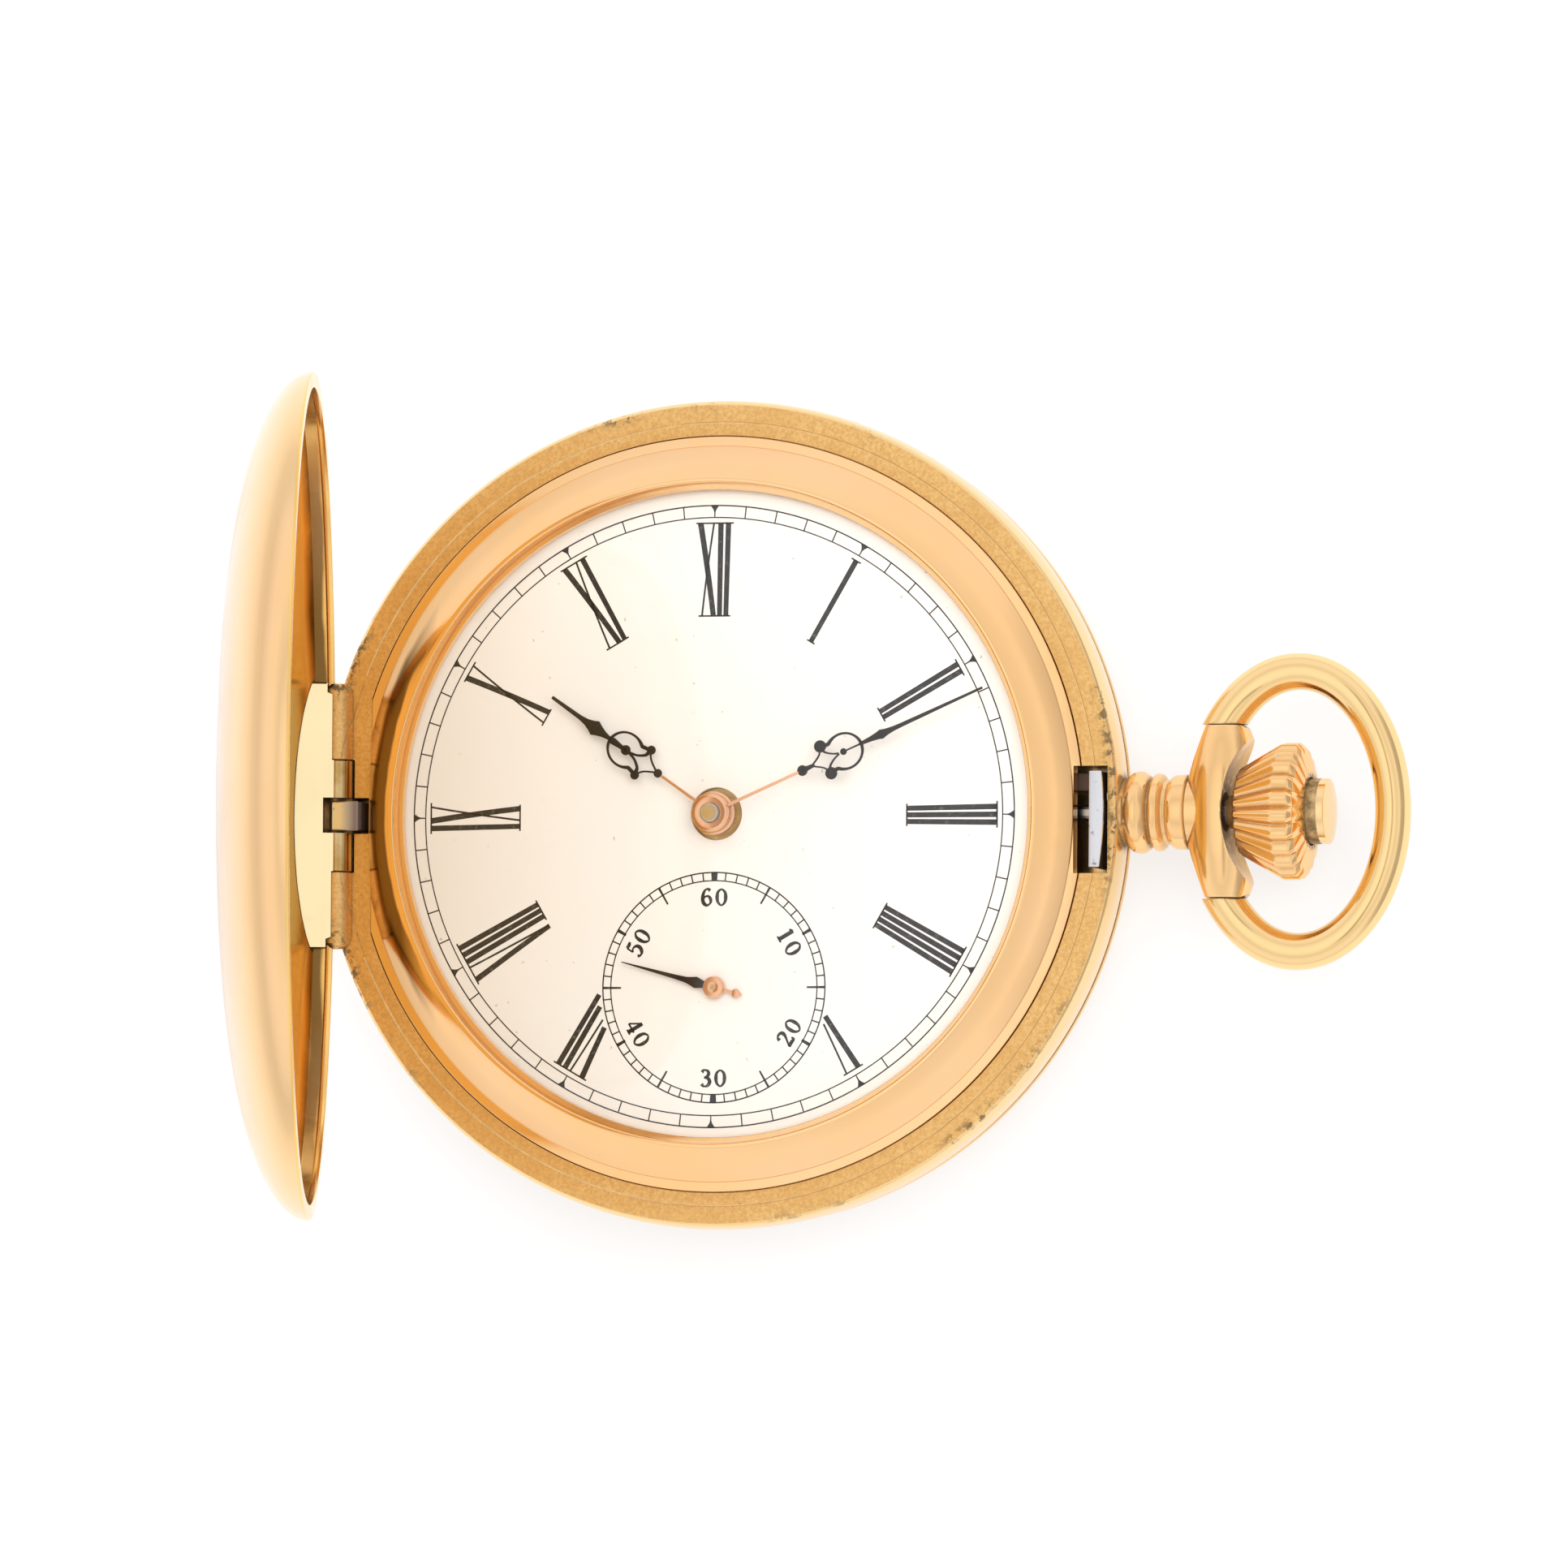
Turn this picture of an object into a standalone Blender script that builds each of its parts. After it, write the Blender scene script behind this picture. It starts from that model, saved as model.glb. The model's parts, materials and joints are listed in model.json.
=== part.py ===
"""Hunter-case pocket watch with its front cover open: case, hinges, pendant, bow and movement.

Every helper takes millimetres and makes objects in metres. +X points from the dial's centre to the
pendant, +Y to the 12, +Z out of the dial. The origin lies on the dial's axis, on the plane that the
closed back rests on.
"""

import math

import bmesh
import bpy
from mathutils import Matrix, Vector

MM = 0.001
TAU = 2 * math.pi

# ---------------------------------------------------------------- driving dimensions (mm)
SEAT_Z = 8.0  # front face of the case middle, on which the cover closes
CASE_R = 25.0
BAND_R = 25.25  # fullest radius of the polished band
BORE_R = 20.9
BAND_FOOT_Z = 4.35
BEZEL_R = 23.0
BEZEL_STEP_R = 22.4
BEZEL_CREST_R = 20.1
BEZEL_CREST_Z = SEAT_Z + 1.55
COVER_R = 25.35
COVER_DOME = 5.4
COVER_WALL = 0.38
COVER_OPEN = math.radians(76.15)
BACK_R = 25.05
BACK_DOME = 4.2
DUST_R = 23.2
DUST_DOME = 3.25
HINGE_X = -24.2
HINGE_R = 1.1
HINGE_HALF = 8.1
MID_KNUCKLE_HALF = 3.4
PIN_R = 0.35
RUN = 0.05  # running clearance between hinge parts
SLOT_Y = -0.5  # the catch sits a little below the pendant's axis
SLOT_HALF = 3.25
DIAL_TOP_Z = SEAT_Z
DIAL_R = 20.3
DIAL_THICK = 0.4
PLATE_R = 19.6
PLATE_TOP_Z = 7.5
PLATE_FOOT_Z = 5.8
BRIDGE_TOP_Z = 3.25
BRIDGE_FOOT_Z = 2.45
STEM_Z = 5.9  # pendant, crown and stem share this axis
BOW_X = 31.4  # axis on which the bow swings
SECONDS_Y = -10.57
SHELL_SEGMENTS = 36
ROUND_SEGMENTS = 18

# Train: centres in plan, teeth and modules
BARREL_AT = (4.3, 7.5)
THIRD_AT = (2.12, -5.93)
FOURTH_AT = (0.0, SECONDS_Y)
ESCAPE_AT = (-4.17, -11.31)
BALANCE_AT = (-9.63, -8.16)
PALLET_AT = (-6.77, -9.81)
MINUTE_AT = (4.8, 0.0)
SETTING_AT = (10.6, 0.0)
CROWN_WHEEL_AT = (13.0, 0.0)
BARREL_TEETH, CENTRE_LEAVES, BARREL_MODULE = 72, 10, 0.2108
CENTRE_TEETH, THIRD_LEAVES, CENTRE_MODULE = 64, 8, 0.175
THIRD_TEETH, FOURTH_LEAVES, THIRD_MODULE = 60, 8, 0.15
FOURTH_TEETH, ESCAPE_LEAVES, FOURTH_MODULE = 60, 6, 0.1283
CANNON_LEAVES, MINUTE_TEETH, SETTING_TEETH, CANNON_MODULE = 12, 36, 22, 0.2
MINUTE_LEAVES, HOUR_TEETH, HOUR_MODULE = 10, 40, 0.192
ESCAPE_TEETH = 15
RATCHET_TEETH, CROWN_WHEEL_TEETH = 48, 33

# ---------------------------------------------------------------- materials
GOLD = ("yellow_gold", (0.83, 0.55, 0.24), 0.16, 1.0)
ROSE = ("rose_gold", (0.87, 0.52, 0.29), 0.14, 1.0)
MATTE_GOLD = ("matte_gold", (0.72, 0.46, 0.18), 0.42, 1.0)
STEEL = ("steel", (0.66, 0.67, 0.69), 0.22, 1.0)
BLUED = ("blued_steel", (0.03, 0.03, 0.035), 0.3, 1.0)
NICKEL = ("nickel_plate", (0.72, 0.70, 0.66), 0.3, 1.0)
BRASS = ("brass", (0.78, 0.58, 0.26), 0.3, 1.0)
ENAMEL = ("dial_enamel", (0.86, 0.82, 0.76), 0.25, 0.0)
GLASS = ("crystal_glass", (0.95, 0.97, 0.98), 0.03, 0.0)


# ---------------------------------------------------------------- scene helpers
def clear_scene():
    for obj in list(bpy.data.objects):
        bpy.data.objects.remove(obj, do_unlink=True)
    for collection in list(bpy.data.collections):
        bpy.data.collections.remove(collection)


def new_collection(name):
    collection = bpy.data.collections.new(name)
    bpy.context.scene.collection.children.link(collection)
    return collection


clear_scene()
PARTS = new_collection("pocket_watch")
CUTTERS = new_collection("cutters")
CUTTERS.hide_render = True


def make_material(obj, look):
    """Gives the object its own Principled material; look is (name, colour, roughness, metallic)."""
    name, colour, roughness, metallic = look
    material = bpy.data.materials.new(f"{obj.name}_{name}")
    material.use_nodes = True
    shader = material.node_tree.nodes["Principled BSDF"]
    shader.inputs["Base Color"].default_value = (*colour, 1.0)
    shader.inputs["Roughness"].default_value = roughness
    shader.inputs["Metallic"].default_value = metallic
    material.diffuse_color = (*colour, 1.0)
    obj.data.materials.clear()
    obj.data.materials.append(material)


def place(obj, at=(0, 0, 0), rotation=(0, 0, 0)):
    obj.location = Vector(at) * MM
    obj.rotation_euler = rotation
    return obj


def as_mesh(obj):
    """Replaces an object by a plain mesh of what its modifiers or its curve make, in world space."""
    bpy.context.view_layer.update()
    graph = bpy.context.evaluated_depsgraph_get()
    mesh = bpy.data.meshes.new_from_object(obj.evaluated_get(graph), depsgraph=graph)
    mesh.transform(obj.matrix_world)
    work = bmesh.new()
    work.from_mesh(mesh)
    bmesh.ops.remove_doubles(work, verts=work.verts, dist=1e-6)
    bmesh.ops.recalc_face_normals(work, faces=work.faces)
    work.to_mesh(mesh)
    work.free()
    name = obj.name
    bpy.data.objects.remove(obj, do_unlink=True)
    solid = bpy.data.objects.new(name, mesh)
    mesh.name = name
    PARTS.objects.link(solid)
    return solid


def set_origin(obj, at):
    """Moves a world-space mesh object's origin to a point of its joint's axis."""
    offset = Vector(at) * MM
    obj.data.transform(Matrix.Translation(-offset))
    obj.location = offset
    return obj


def combine(target, tools, operation):
    """Applies one EXACT Boolean for each tool and throws the tools away."""
    for tool in tools:
        tool = as_mesh(tool)
        modifier = target.modifiers.new(operation.lower(), "BOOLEAN")
        modifier.operation = operation
        modifier.object = tool
        modifier.solver = "EXACT"
        target = as_mesh(target)
        bpy.data.objects.remove(tool, do_unlink=True)
    return target


def fuse(target, *tools):
    return combine(as_mesh(target), tools, "UNION")


def cut(target, *tools):
    return combine(as_mesh(target), tools, "DIFFERENCE")


def keep_inside(target, *tools):
    return combine(as_mesh(target), tools, "INTERSECT")


def finish(obj, look, axis_at=None, sharp=35):
    """Names the material, shades the piece smooth and puts its origin on its axis."""
    obj = as_mesh(obj)
    make_material(obj, look)
    obj.data.shade_smooth()
    obj.data.set_sharp_from_angle(angle=math.radians(sharp))
    return set_origin(obj, axis_at) if axis_at is not None else obj


# ---------------------------------------------------------------- shape helpers
ALONG_X = (0, math.pi / 2, 0)  # turns a piece made along Z so that its top points to +X
ALONG_Y = (-math.pi / 2, 0, 0)  # the same, to +Y


def turned(name, profile, closed=False, segments=ROUND_SEGMENTS, at=(0, 0, 0), rotation=(0, 0, 0)):
    """A turned shape. profile lists (radius, height), running down the outer side."""
    mesh = bpy.data.meshes.new(name)
    points = [(radius * MM, 0, height * MM) for radius, height in profile]
    edges = [(i, i + 1) for i in range(len(points) - 1)]
    if closed:
        edges.append((len(points) - 1, 0))
    mesh.from_pydata(points, edges, [])
    obj = bpy.data.objects.new(name, mesh)
    PARTS.objects.link(obj)
    screw = obj.modifiers.new("screw", "SCREW")
    screw.steps = segments
    screw.render_steps = segments
    screw.use_merge_vertices = True
    screw.merge_threshold = 1e-6
    return place(obj, at, rotation)


def cylinder(name, radius, low, high, at=(0, 0), segments=ROUND_SEGMENTS):
    """A cylinder along Z between two heights."""
    profile = [(0, high), (radius, high), (radius, low), (0, low)]
    return turned(name, profile, segments=segments, at=(at[0], at[1], 0))


def rod(name, radius, start, end, axis, at, segments=ROUND_SEGMENTS):
    """A cylinder along X or Y from start to end; at is the pair of its other coordinates."""
    profile = [(0, end), (radius, end), (radius, start), (0, start)]
    if axis == "X":
        return turned(name, profile, segments=segments, at=(0, *at), rotation=ALONG_X)
    return turned(name, profile, segments=segments, at=(at[0], 0, at[1]), rotation=ALONG_Y)


def tube(name, inner, outer, low, high, at=(0, 0), segments=ROUND_SEGMENTS):
    profile = [(inner, high), (outer, high), (outer, low), (inner, low)]
    return turned(name, profile, closed=True, segments=segments, at=(at[0], at[1], 0))


def box(name, low, high, bevel=0.0):
    """An upright box between two corners, its long edges bevelled if asked."""
    mesh = bpy.data.meshes.new(name)
    work = bmesh.new()
    bmesh.ops.create_cube(work, size=1.0)
    sides = [(b - a) * MM for a, b in zip(low, high)]
    bmesh.ops.scale(work, vec=sides, verts=work.verts)
    work.to_mesh(mesh)
    work.free()
    obj = bpy.data.objects.new(name, mesh)
    PARTS.objects.link(obj)
    place(obj, [(a + b) / 2 for a, b in zip(low, high)])
    if bevel:
        modifier = obj.modifiers.new("bevel", "BEVEL")
        modifier.width = bevel * MM
        modifier.segments = 2
    return obj


def flat(name, outlines, low, high, at=(0, 0), angle=0.0):
    """A flat piece from closed outlines in the XY plane, the inner ones being windows."""
    curve = bpy.data.curves.new(name, "CURVE")
    curve.dimensions = "2D"
    curve.fill_mode = "BOTH"
    curve.extrude = (high - low) / 2 * MM
    for outline in outlines:
        spline = curve.splines.new("POLY")
        spline.points.add(len(outline) - 1)
        for point, (x, y) in zip(spline.points, outline):
            point.co = (x * MM, y * MM, 0, 1)
        spline.use_cyclic_u = True
    obj = bpy.data.objects.new(name, curve)
    PARTS.objects.link(obj)
    return place(obj, (at[0], at[1], (low + high) / 2), (0, 0, angle))


def ring_points(radius, count, at=(0, 0), start=0.0, sweep=TAU):
    """Points on a circle, or on an arc with both its ends when sweep is under a full turn."""
    steps = count if sweep == TAU else count - 1
    return [polar(radius, start + sweep * i / steps, at) for i in range(count)]


def polar(radius, angle, at=(0, 0)):
    return (at[0] + radius * math.cos(angle), at[1] + radius * math.sin(angle))


def direction(a, b):
    return math.atan2(b[1] - a[1], b[0] - a[0])


# ---------------------------------------------------------------- gears
def wheel_outline(teeth, module, phase):
    """Pointed wheel teeth: a root and a tip point for each tooth, with a tip at the phase angle."""
    pitch = teeth * module / 2
    step = TAU / teeth
    outline = []
    for i in range(teeth):
        outline.append(polar(pitch + 0.75 * module, phase + i * step))
        outline.append(polar(pitch - 1.05 * module, phase + (i + 0.5) * step))
    return outline


def pinion_outline(leaves, module, phase):
    """Narrow blunt leaves: four points each, with a leaf at the phase angle."""
    pitch = leaves * module / 2
    step = TAU / leaves
    outline = []
    for i in range(leaves):
        centre = phase + i * step
        outline.append(polar(pitch + 0.7 * module, centre - 0.1 * step))
        outline.append(polar(pitch + 0.7 * module, centre + 0.1 * step))
        outline.append(polar(pitch - 1.15 * module, centre + 0.3 * step))
        outline.append(polar(pitch - 1.15 * module, centre + 0.7 * step))
    return outline


def spoke_windows(inner, outer, spokes, spoke_width, phase=0.0):
    """The windows between a wheel's spokes, each bounded by two arcs."""
    windows = []
    for i in range(spokes):
        middle = phase + TAU * (i + 0.5) / spokes
        half = math.pi / spokes
        wide = half - spoke_width / 2 / outer
        narrow = half - spoke_width / 2 / inner
        window = ring_points(outer, 5, start=middle - wide, sweep=2 * wide)
        windows.append(window + ring_points(inner, 2, start=middle + narrow, sweep=-2 * narrow))
    return windows


def meshing_phase(teeth_a, phase_a, angle, teeth_b):
    """The phase that puts wheel B's gap where wheel A's tooth comes; angle points from A to B."""
    ahead = (phase_a - angle) % (TAU / teeth_a)
    return angle + math.pi - ahead * teeth_a / teeth_b + math.pi / teeth_b


def arbor(name, sections, at):
    """A stepped arbor. sections lists (radius, low, high) from the top of the piece downwards."""
    profile = [(0, sections[0][2])]
    for radius, low, high in sections:
        profile += [(radius, high), (radius, low)]
    profile.append((0, sections[-1][1]))
    return turned(name, profile, segments=10, at=(at[0], at[1], 0))


# ---------------------------------------------------------------- case
def dome(radius, rise, power, fractions):
    """(radius, height) points of a cover's outer curve, from its centre to its rim."""
    return [(radius * f, rise * math.sqrt(max(0.0, 1 - f**power))) for f in fractions]


def flatten_crown(points, reach):
    """Levels a dome's crown out to a radius, so that it stands steadily on it."""
    top = points[0][1]
    return [(0, top), (reach, top)] + [p for p in points if p[0] > reach + 2]


def shell_profile(outer, inner, rim_inner, rim_height):
    """A cover with its dome up: outer curve down to the rim, then the lip and the inner curve back."""
    points = list(outer)
    points += [(rim_inner, 0.0), (rim_inner, rim_height)]
    points += [p for p in reversed(inner) if p[0] < rim_inner + 0.2 and p[1] > rim_height]
    return points


OUTER_FRACTIONS = (0.0, 0.42, 0.7, 0.86, 0.94, 0.983, 1.0)
INNER_FRACTIONS = (0.0, 0.55, 0.82, 0.94, 0.98)
PLAIN_FRACTIONS = (0.0, 0.6, 0.84, 0.95, 1.0)


def make_case_middle():
    profile = [
        (BEZEL_R + 0.05, SEAT_Z),
        (CASE_R, SEAT_Z),
        (CASE_R + 0.18, SEAT_Z - 0.45),
        (BAND_R, SEAT_Z - 1.5),
        (CASE_R + 0.15, BAND_FOOT_Z + 0.9),
        (CASE_R - 0.05, BAND_FOOT_Z),
        (DUST_R + 0.55, BAND_FOOT_Z),
        (DUST_R + 0.35, BAND_FOOT_Z + 0.45),
        (BORE_R, BAND_FOOT_Z + 0.45),
        (BORE_R, SEAT_Z - 0.45),
        (BEZEL_R + 0.05, SEAT_Z - 0.45),
    ]
    case = turned("case_middle", profile, closed=True, segments=SHELL_SEGMENTS)
    platform_x = HINGE_X + HINGE_R + 1.2
    flat_chord = box("flat", (-27, -8.35, SEAT_Z - 1.3), (HINGE_X - 0.1, 8.35, SEAT_Z + 1))
    platform = keep_inside(
        box("platform", (-25, -8.6, SEAT_Z - 0.6), (platform_x, 8.6, SEAT_Z)),
        cylinder("inside", CASE_R - 0.1, SEAT_Z - 1, SEAT_Z + 1, segments=SHELL_SEGMENTS),
    )
    case = fuse(case, platform)
    case = cut(case, flat_chord)
    knuckles = [
        rod(f"knuckle_{side}", HINGE_R, min(a, b), max(a, b), "Y", (HINGE_X, SEAT_Z))
        for side, a, b in (
            ("upper", MID_KNUCKLE_HALF + RUN, HINGE_HALF),
            ("lower", -MID_KNUCKLE_HALF - RUN, -HINGE_HALF),
        )
    ]
    case = fuse(case, *knuckles)
    middle_half = MID_KNUCKLE_HALF + RUN
    middle_room = rod("room", HINGE_R + 0.12, -middle_half, middle_half, "Y", (HINGE_X, SEAT_Z))
    pin_hole = rod("pin_hole", PIN_R + RUN, -9, 9, "Y", (HINGE_X, SEAT_Z), segments=12)
    spring_slot = box("spring_slot", (-23.6, -1.08, 4.9), (-22.05, 1.12, SEAT_Z + 1))
    spring_pocket = box("spring_pocket", (-22.6, -1.08, 4.9), (-19, 1.3, SEAT_Z - 0.9))
    slot_low, slot_high = SLOT_Y - SLOT_HALF, SLOT_Y + SLOT_HALF
    catch_slot = box("catch_slot", (22.4, slot_low, 5.1), (24.72, slot_high, SEAT_Z + 1))
    catch_pocket = box("catch_pocket", (19, slot_low, 5.1), (23, slot_high, SEAT_Z - 0.9))
    pendant_seat = rod("pendant_seat", 2.64, 24.9, 27, "X", (0, STEM_Z))
    pendant_bore = rod("pendant_bore", 1.8, 24, 27, "X", (0, STEM_Z))
    cross_bar_room = rod("cross_bar_room", 1.5, 23.8, 24.2, "X", (0, STEM_Z))
    case = cut(case, middle_room, pin_hole, spring_slot, spring_pocket)
    case = cut(case, catch_slot, catch_pocket, pendant_seat, pendant_bore, cross_bar_room)
    back_axis, dust_axis = (BACK_HINGE_X, BACK_HINGE_Z), (DUST_HINGE_X, DUST_HINGE_Z)
    back_room = rod("back_room", BACK_KNUCKLE_R + 0.1, -5.1, 5.1, "Y", back_axis, segments=12)
    case = cut(case, back_room)
    back_knuckles = [
        rod(f"back_knuckle_{side}", BACK_KNUCKLE_R, min(a, b), max(a, b), "Y", back_axis, segments=12)
        for side, a, b in (("upper", 2.1, 5.3), ("lower", -2.1, -5.3))
    ]
    case = fuse(case, *back_knuckles)
    dust_room = rod("dust_room", DUST_KNUCKLE_R + 0.08, -3.1, 3.1, "Y", dust_axis, segments=10)
    case = cut(case, dust_room)
    dust_knuckles = [
        rod(f"dust_knuckle_{side}", DUST_KNUCKLE_R, min(a, b), max(a, b), "Y", dust_axis, segments=10)
        for side, a, b in (("upper", 1.35, 3.3), ("lower", -1.35, -3.3))
    ]
    case = fuse(case, *dust_knuckles)
    back_pin_hole = rod("back_pin_hole", BACK_PIN_R + RUN, -9, 9, "Y", back_axis, segments=8)
    dust_pin_hole = rod("dust_pin_hole", DUST_PIN_R + RUN, -9, 9, "Y", dust_axis, segments=8)
    case = cut(case, back_pin_hole, dust_pin_hole)
    return finish(case, MATTE_GOLD)


BACK_HINGE_X, BACK_HINGE_Z, BACK_KNUCKLE_R, BACK_PIN_R = -24.75, BAND_FOOT_Z - 0.1, 0.62, 0.22
DUST_HINGE_X, DUST_HINGE_Z, DUST_KNUCKLE_R, DUST_PIN_R = -23.15, BAND_FOOT_Z + 0.05, 0.36, 0.14


def make_bezel():
    profile = [
        (BEZEL_CREST_R, BEZEL_CREST_Z - 0.05),
        (BEZEL_CREST_R + 0.3, BEZEL_CREST_Z),
        (BEZEL_CREST_R + 1.0, BEZEL_CREST_Z - 0.3),
        (BEZEL_CREST_R + 1.75, BEZEL_CREST_Z - 0.85),
        (BEZEL_STEP_R - 0.05, SEAT_Z + 0.3),
        (BEZEL_STEP_R, SEAT_Z + 0.14),
        (BEZEL_R, SEAT_Z + 0.06),
        (BEZEL_R, SEAT_Z - 0.4),
        (20.45, SEAT_Z - 0.4),
        (20.45, SEAT_Z + 0.06),
        (19.7, SEAT_Z + 0.1),
        (19.7, SEAT_Z + 0.7),
        (BEZEL_CREST_R, SEAT_Z + 0.7),
    ]
    bezel = turned("bezel", profile, closed=True, segments=SHELL_SEGMENTS)
    hinge_flat = box("hinge_flat", (-25, -9, SEAT_Z - 1), (HINGE_X + HINGE_R + 1.25, 9, SEAT_Z + 2))
    slot_low, slot_high = SLOT_Y - SLOT_HALF, SLOT_Y + SLOT_HALF
    catch_notch = box("catch_notch", (22.4, slot_low, SEAT_Z - 1), (25, slot_high, SEAT_Z + 1))
    return finish(cut(bezel, hinge_flat, catch_notch), ROSE)


def make_crystal():
    """Glass with a steep edge and a nearly flat top, sprung into the bezel."""
    edge = BEZEL_CREST_R - 0.06
    low, rise, thick = SEAT_Z + 0.74, 1.25, 0.65
    outer = [(edge * f, low + thick + rise * math.sqrt(1 - f**8)) for f in (0.0, 0.7, 0.9)]
    outer += [(edge * 0.975, low + thick + 0.5), (edge, low + thick), (edge, low)]
    inner_r = edge - 0.5
    inner = [(inner_r * f, low + rise * math.sqrt(1 - f**8)) for f in (0.98, 0.9, 0.7, 0.0)]
    return finish(turned("crystal", outer + [(inner_r, low)] + inner, segments=SHELL_SEGMENTS), GLASS)


def make_dial():
    dial = cylinder("dial", DIAL_R, DIAL_TOP_Z - DIAL_THICK, DIAL_TOP_Z, segments=SHELL_SEGMENTS)
    holes = [
        cylinder("centre_hole", 1.43, 7, 9),
        cylinder("seconds_hole", 0.4, 7, 9, at=FOURTH_AT, segments=12),
    ]
    dial = cut(dial, *holes)
    feet = [
        cylinder(f"foot_{i}", 0.4, PLATE_TOP_Z - 1.1, DIAL_TOP_Z - 0.2, polar(17.6, math.radians(a)), 12)
        for i, a in enumerate(DIAL_FOOT_ANGLES)
    ]
    return finish(fuse(dial, *feet), ENAMEL)


DIAL_FOOT_ANGLES = (75, 195, 315)


def make_pendant():
    profile = [
        (1.85, 29.2),
        (2.2, 29.2),
        (2.28, 28.95),
        (2.28, 28.35),
        (2.12, 28.05),
        (1.92, 27.85),
        (2.3, 27.65),
        (2.42, 27.4),
        (2.32, 27.1),
        (2.0, 26.9),
        (2.46, 26.4),
        (2.6, 25.8),
        (2.5, 25.2),
        (2.2, 24.96),
        (1.85, 24.96),
    ]
    pendant = turned("pendant_neck", profile, closed=True, at=(0, 0, STEM_Z), rotation=ALONG_X)
    return finish(pendant, GOLD)


def make_bow_yoke():
    """The head that carries the bow: a round bar across the pendant, hollowed for the crown."""
    half = [(29.25, 2.0), (30.35, 5.2), (32.45, 5.2), (33.2, 4.75)]
    outline = half + [(x, -y) for x, y in reversed(half)]
    body = flat("bow_yoke", [outline], STEM_Z - 2.6, STEM_Z + 2.6)
    half_barrel = [(0, 5.3), (1.45, 5.2), (1.75, 4.4), (2.25, 2.5)]
    barrel = half_barrel + [(2.45, 0)] + [(radius, -height) for radius, height in reversed(half_barrel)]
    bar = turned("bar", barrel, at=(BOW_X - 0.1, 0, STEM_Z), rotation=ALONG_Y, segments=20)
    yoke = keep_inside(body, bar)
    crown_room = turned(
        "crown_room",
        [(0, 34.0), (5.1, 34.0), (4.75, 33.4), (3.3, 32.0), (1.9, 31.35), (0, 31.35)],
        at=(0, 0, STEM_Z),
        rotation=ALONG_X,
    )
    bore = rod("bore", 1.2, 28, 33, "X", (0, STEM_Z))
    ears = [
        rod(f"ear_hole_{i}", 0.62, min(a, b), max(a, b), "Y", (BOW_X, STEM_Z), segments=12)
        for i, (a, b) in enumerate(((4.1, 6.0), (-4.1, -6.0)))
    ]
    return finish(cut(yoke, crown_room, bore, *ears), GOLD)


def make_hinge_pin(name, radius, half, x, z):
    return finish(rod(name, radius, -half, half, "Y", (x, z), segments=12), GOLD)


# ---------------------------------------------------------------- covers
def cover_shell(
    name, radius, rise, power, wall, rim_inner, rim_height, fractions=OUTER_FRACTIONS, flat_reach=0.0
):
    """A domed cover, modelled closed with its rim plane at height 0 and its dome up."""
    outer = dome(radius, rise, power, fractions)
    if flat_reach:
        outer = flatten_crown(outer, flat_reach)
    inner = dome(radius - wall, rise - wall, power, INNER_FRACTIONS)
    return turned(name, shell_profile(outer, inner, rim_inner, rim_height), segments=SHELL_SEGMENTS)


def opened(obj):
    """Swings a piece of the front cover from closed to open about the hinge."""
    pivot = Vector((HINGE_X, 0, SEAT_Z)) * MM
    obj = as_mesh(obj)
    swing = Matrix.Translation(pivot) @ Matrix.Rotation(-COVER_OPEN, 4, "Y") @ Matrix.Translation(-pivot)
    obj.data.transform(swing)
    return obj


def make_front_cover():
    cover = cover_shell("front_cover", COVER_R, COVER_DOME, 2.8, COVER_WALL, 24.4, 0.34)
    place(cover, (0, 0, SEAT_Z + RUN))
    hinge_room = rod("hinge_room", HINGE_R + 0.1, -HINGE_HALF - RUN, HINGE_HALF + RUN, "Y", (HINGE_X, SEAT_Z))
    rim_room = box("rim_room", (-26, -8.2, SEAT_Z - 1), (HINGE_X - 0.6, 8.2, SEAT_Z + 0.3))
    pendant_room = rod("pendant_room", 2.72, 24.9, 27, "X", (0, STEM_Z))
    return finish(opened(cut(cover, hinge_room, rim_room, pendant_room)), GOLD, (HINGE_X, 0, SEAT_Z))


def make_cover_joint():
    """The segment inside the cover that carries its knuckle: a chord of the dome with a flat face."""
    inner = dome(COVER_R - COVER_WALL - 0.35, COVER_DOME - COVER_WALL - 0.25, 2.8, INNER_FRACTIONS + (1.0,))
    inside = turned("cover_joint", inner + [(0, 0)], segments=SHELL_SEGMENTS, at=(0, 0, SEAT_Z + RUN))
    face_x = HINGE_X + HINGE_R + 0.05
    lip_room = tube("lip_room", 24.2, 27, SEAT_Z - 1, SEAT_Z + 0.48, segments=SHELL_SEGMENTS)
    segment = keep_inside(inside, box("slab", (-26, -8.05, SEAT_Z + RUN), (face_x, 8.05, SEAT_Z + 3)))
    segment = cut(segment, lip_room)
    outer_rooms = [
        rod(f"outer_room_{i}", HINGE_R + 0.08, min(a, b), max(a, b), "Y", (HINGE_X, SEAT_Z))
        for i, (a, b) in enumerate(((MID_KNUCKLE_HALF, 9), (-MID_KNUCKLE_HALF, -9)))
    ]
    segment = cut(segment, *outer_rooms)
    knuckle = rod("knuckle", HINGE_R, -MID_KNUCKLE_HALF, MID_KNUCKLE_HALF, "Y", (HINGE_X, SEAT_Z))
    segment = fuse(segment, knuckle)
    nub_room = box("nub_room", (-26, -1.08, SEAT_Z - 1.3), (face_x + 1, 1.08, SEAT_Z + 1.18))
    pin_hole = rod("pin_hole", PIN_R + RUN, -9, 9, "Y", (HINGE_X, SEAT_Z), segments=12)
    segment = cut(segment, nub_room, pin_hole)
    return finish(opened(segment), GOLD, (HINGE_X, 0, SEAT_Z))


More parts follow.
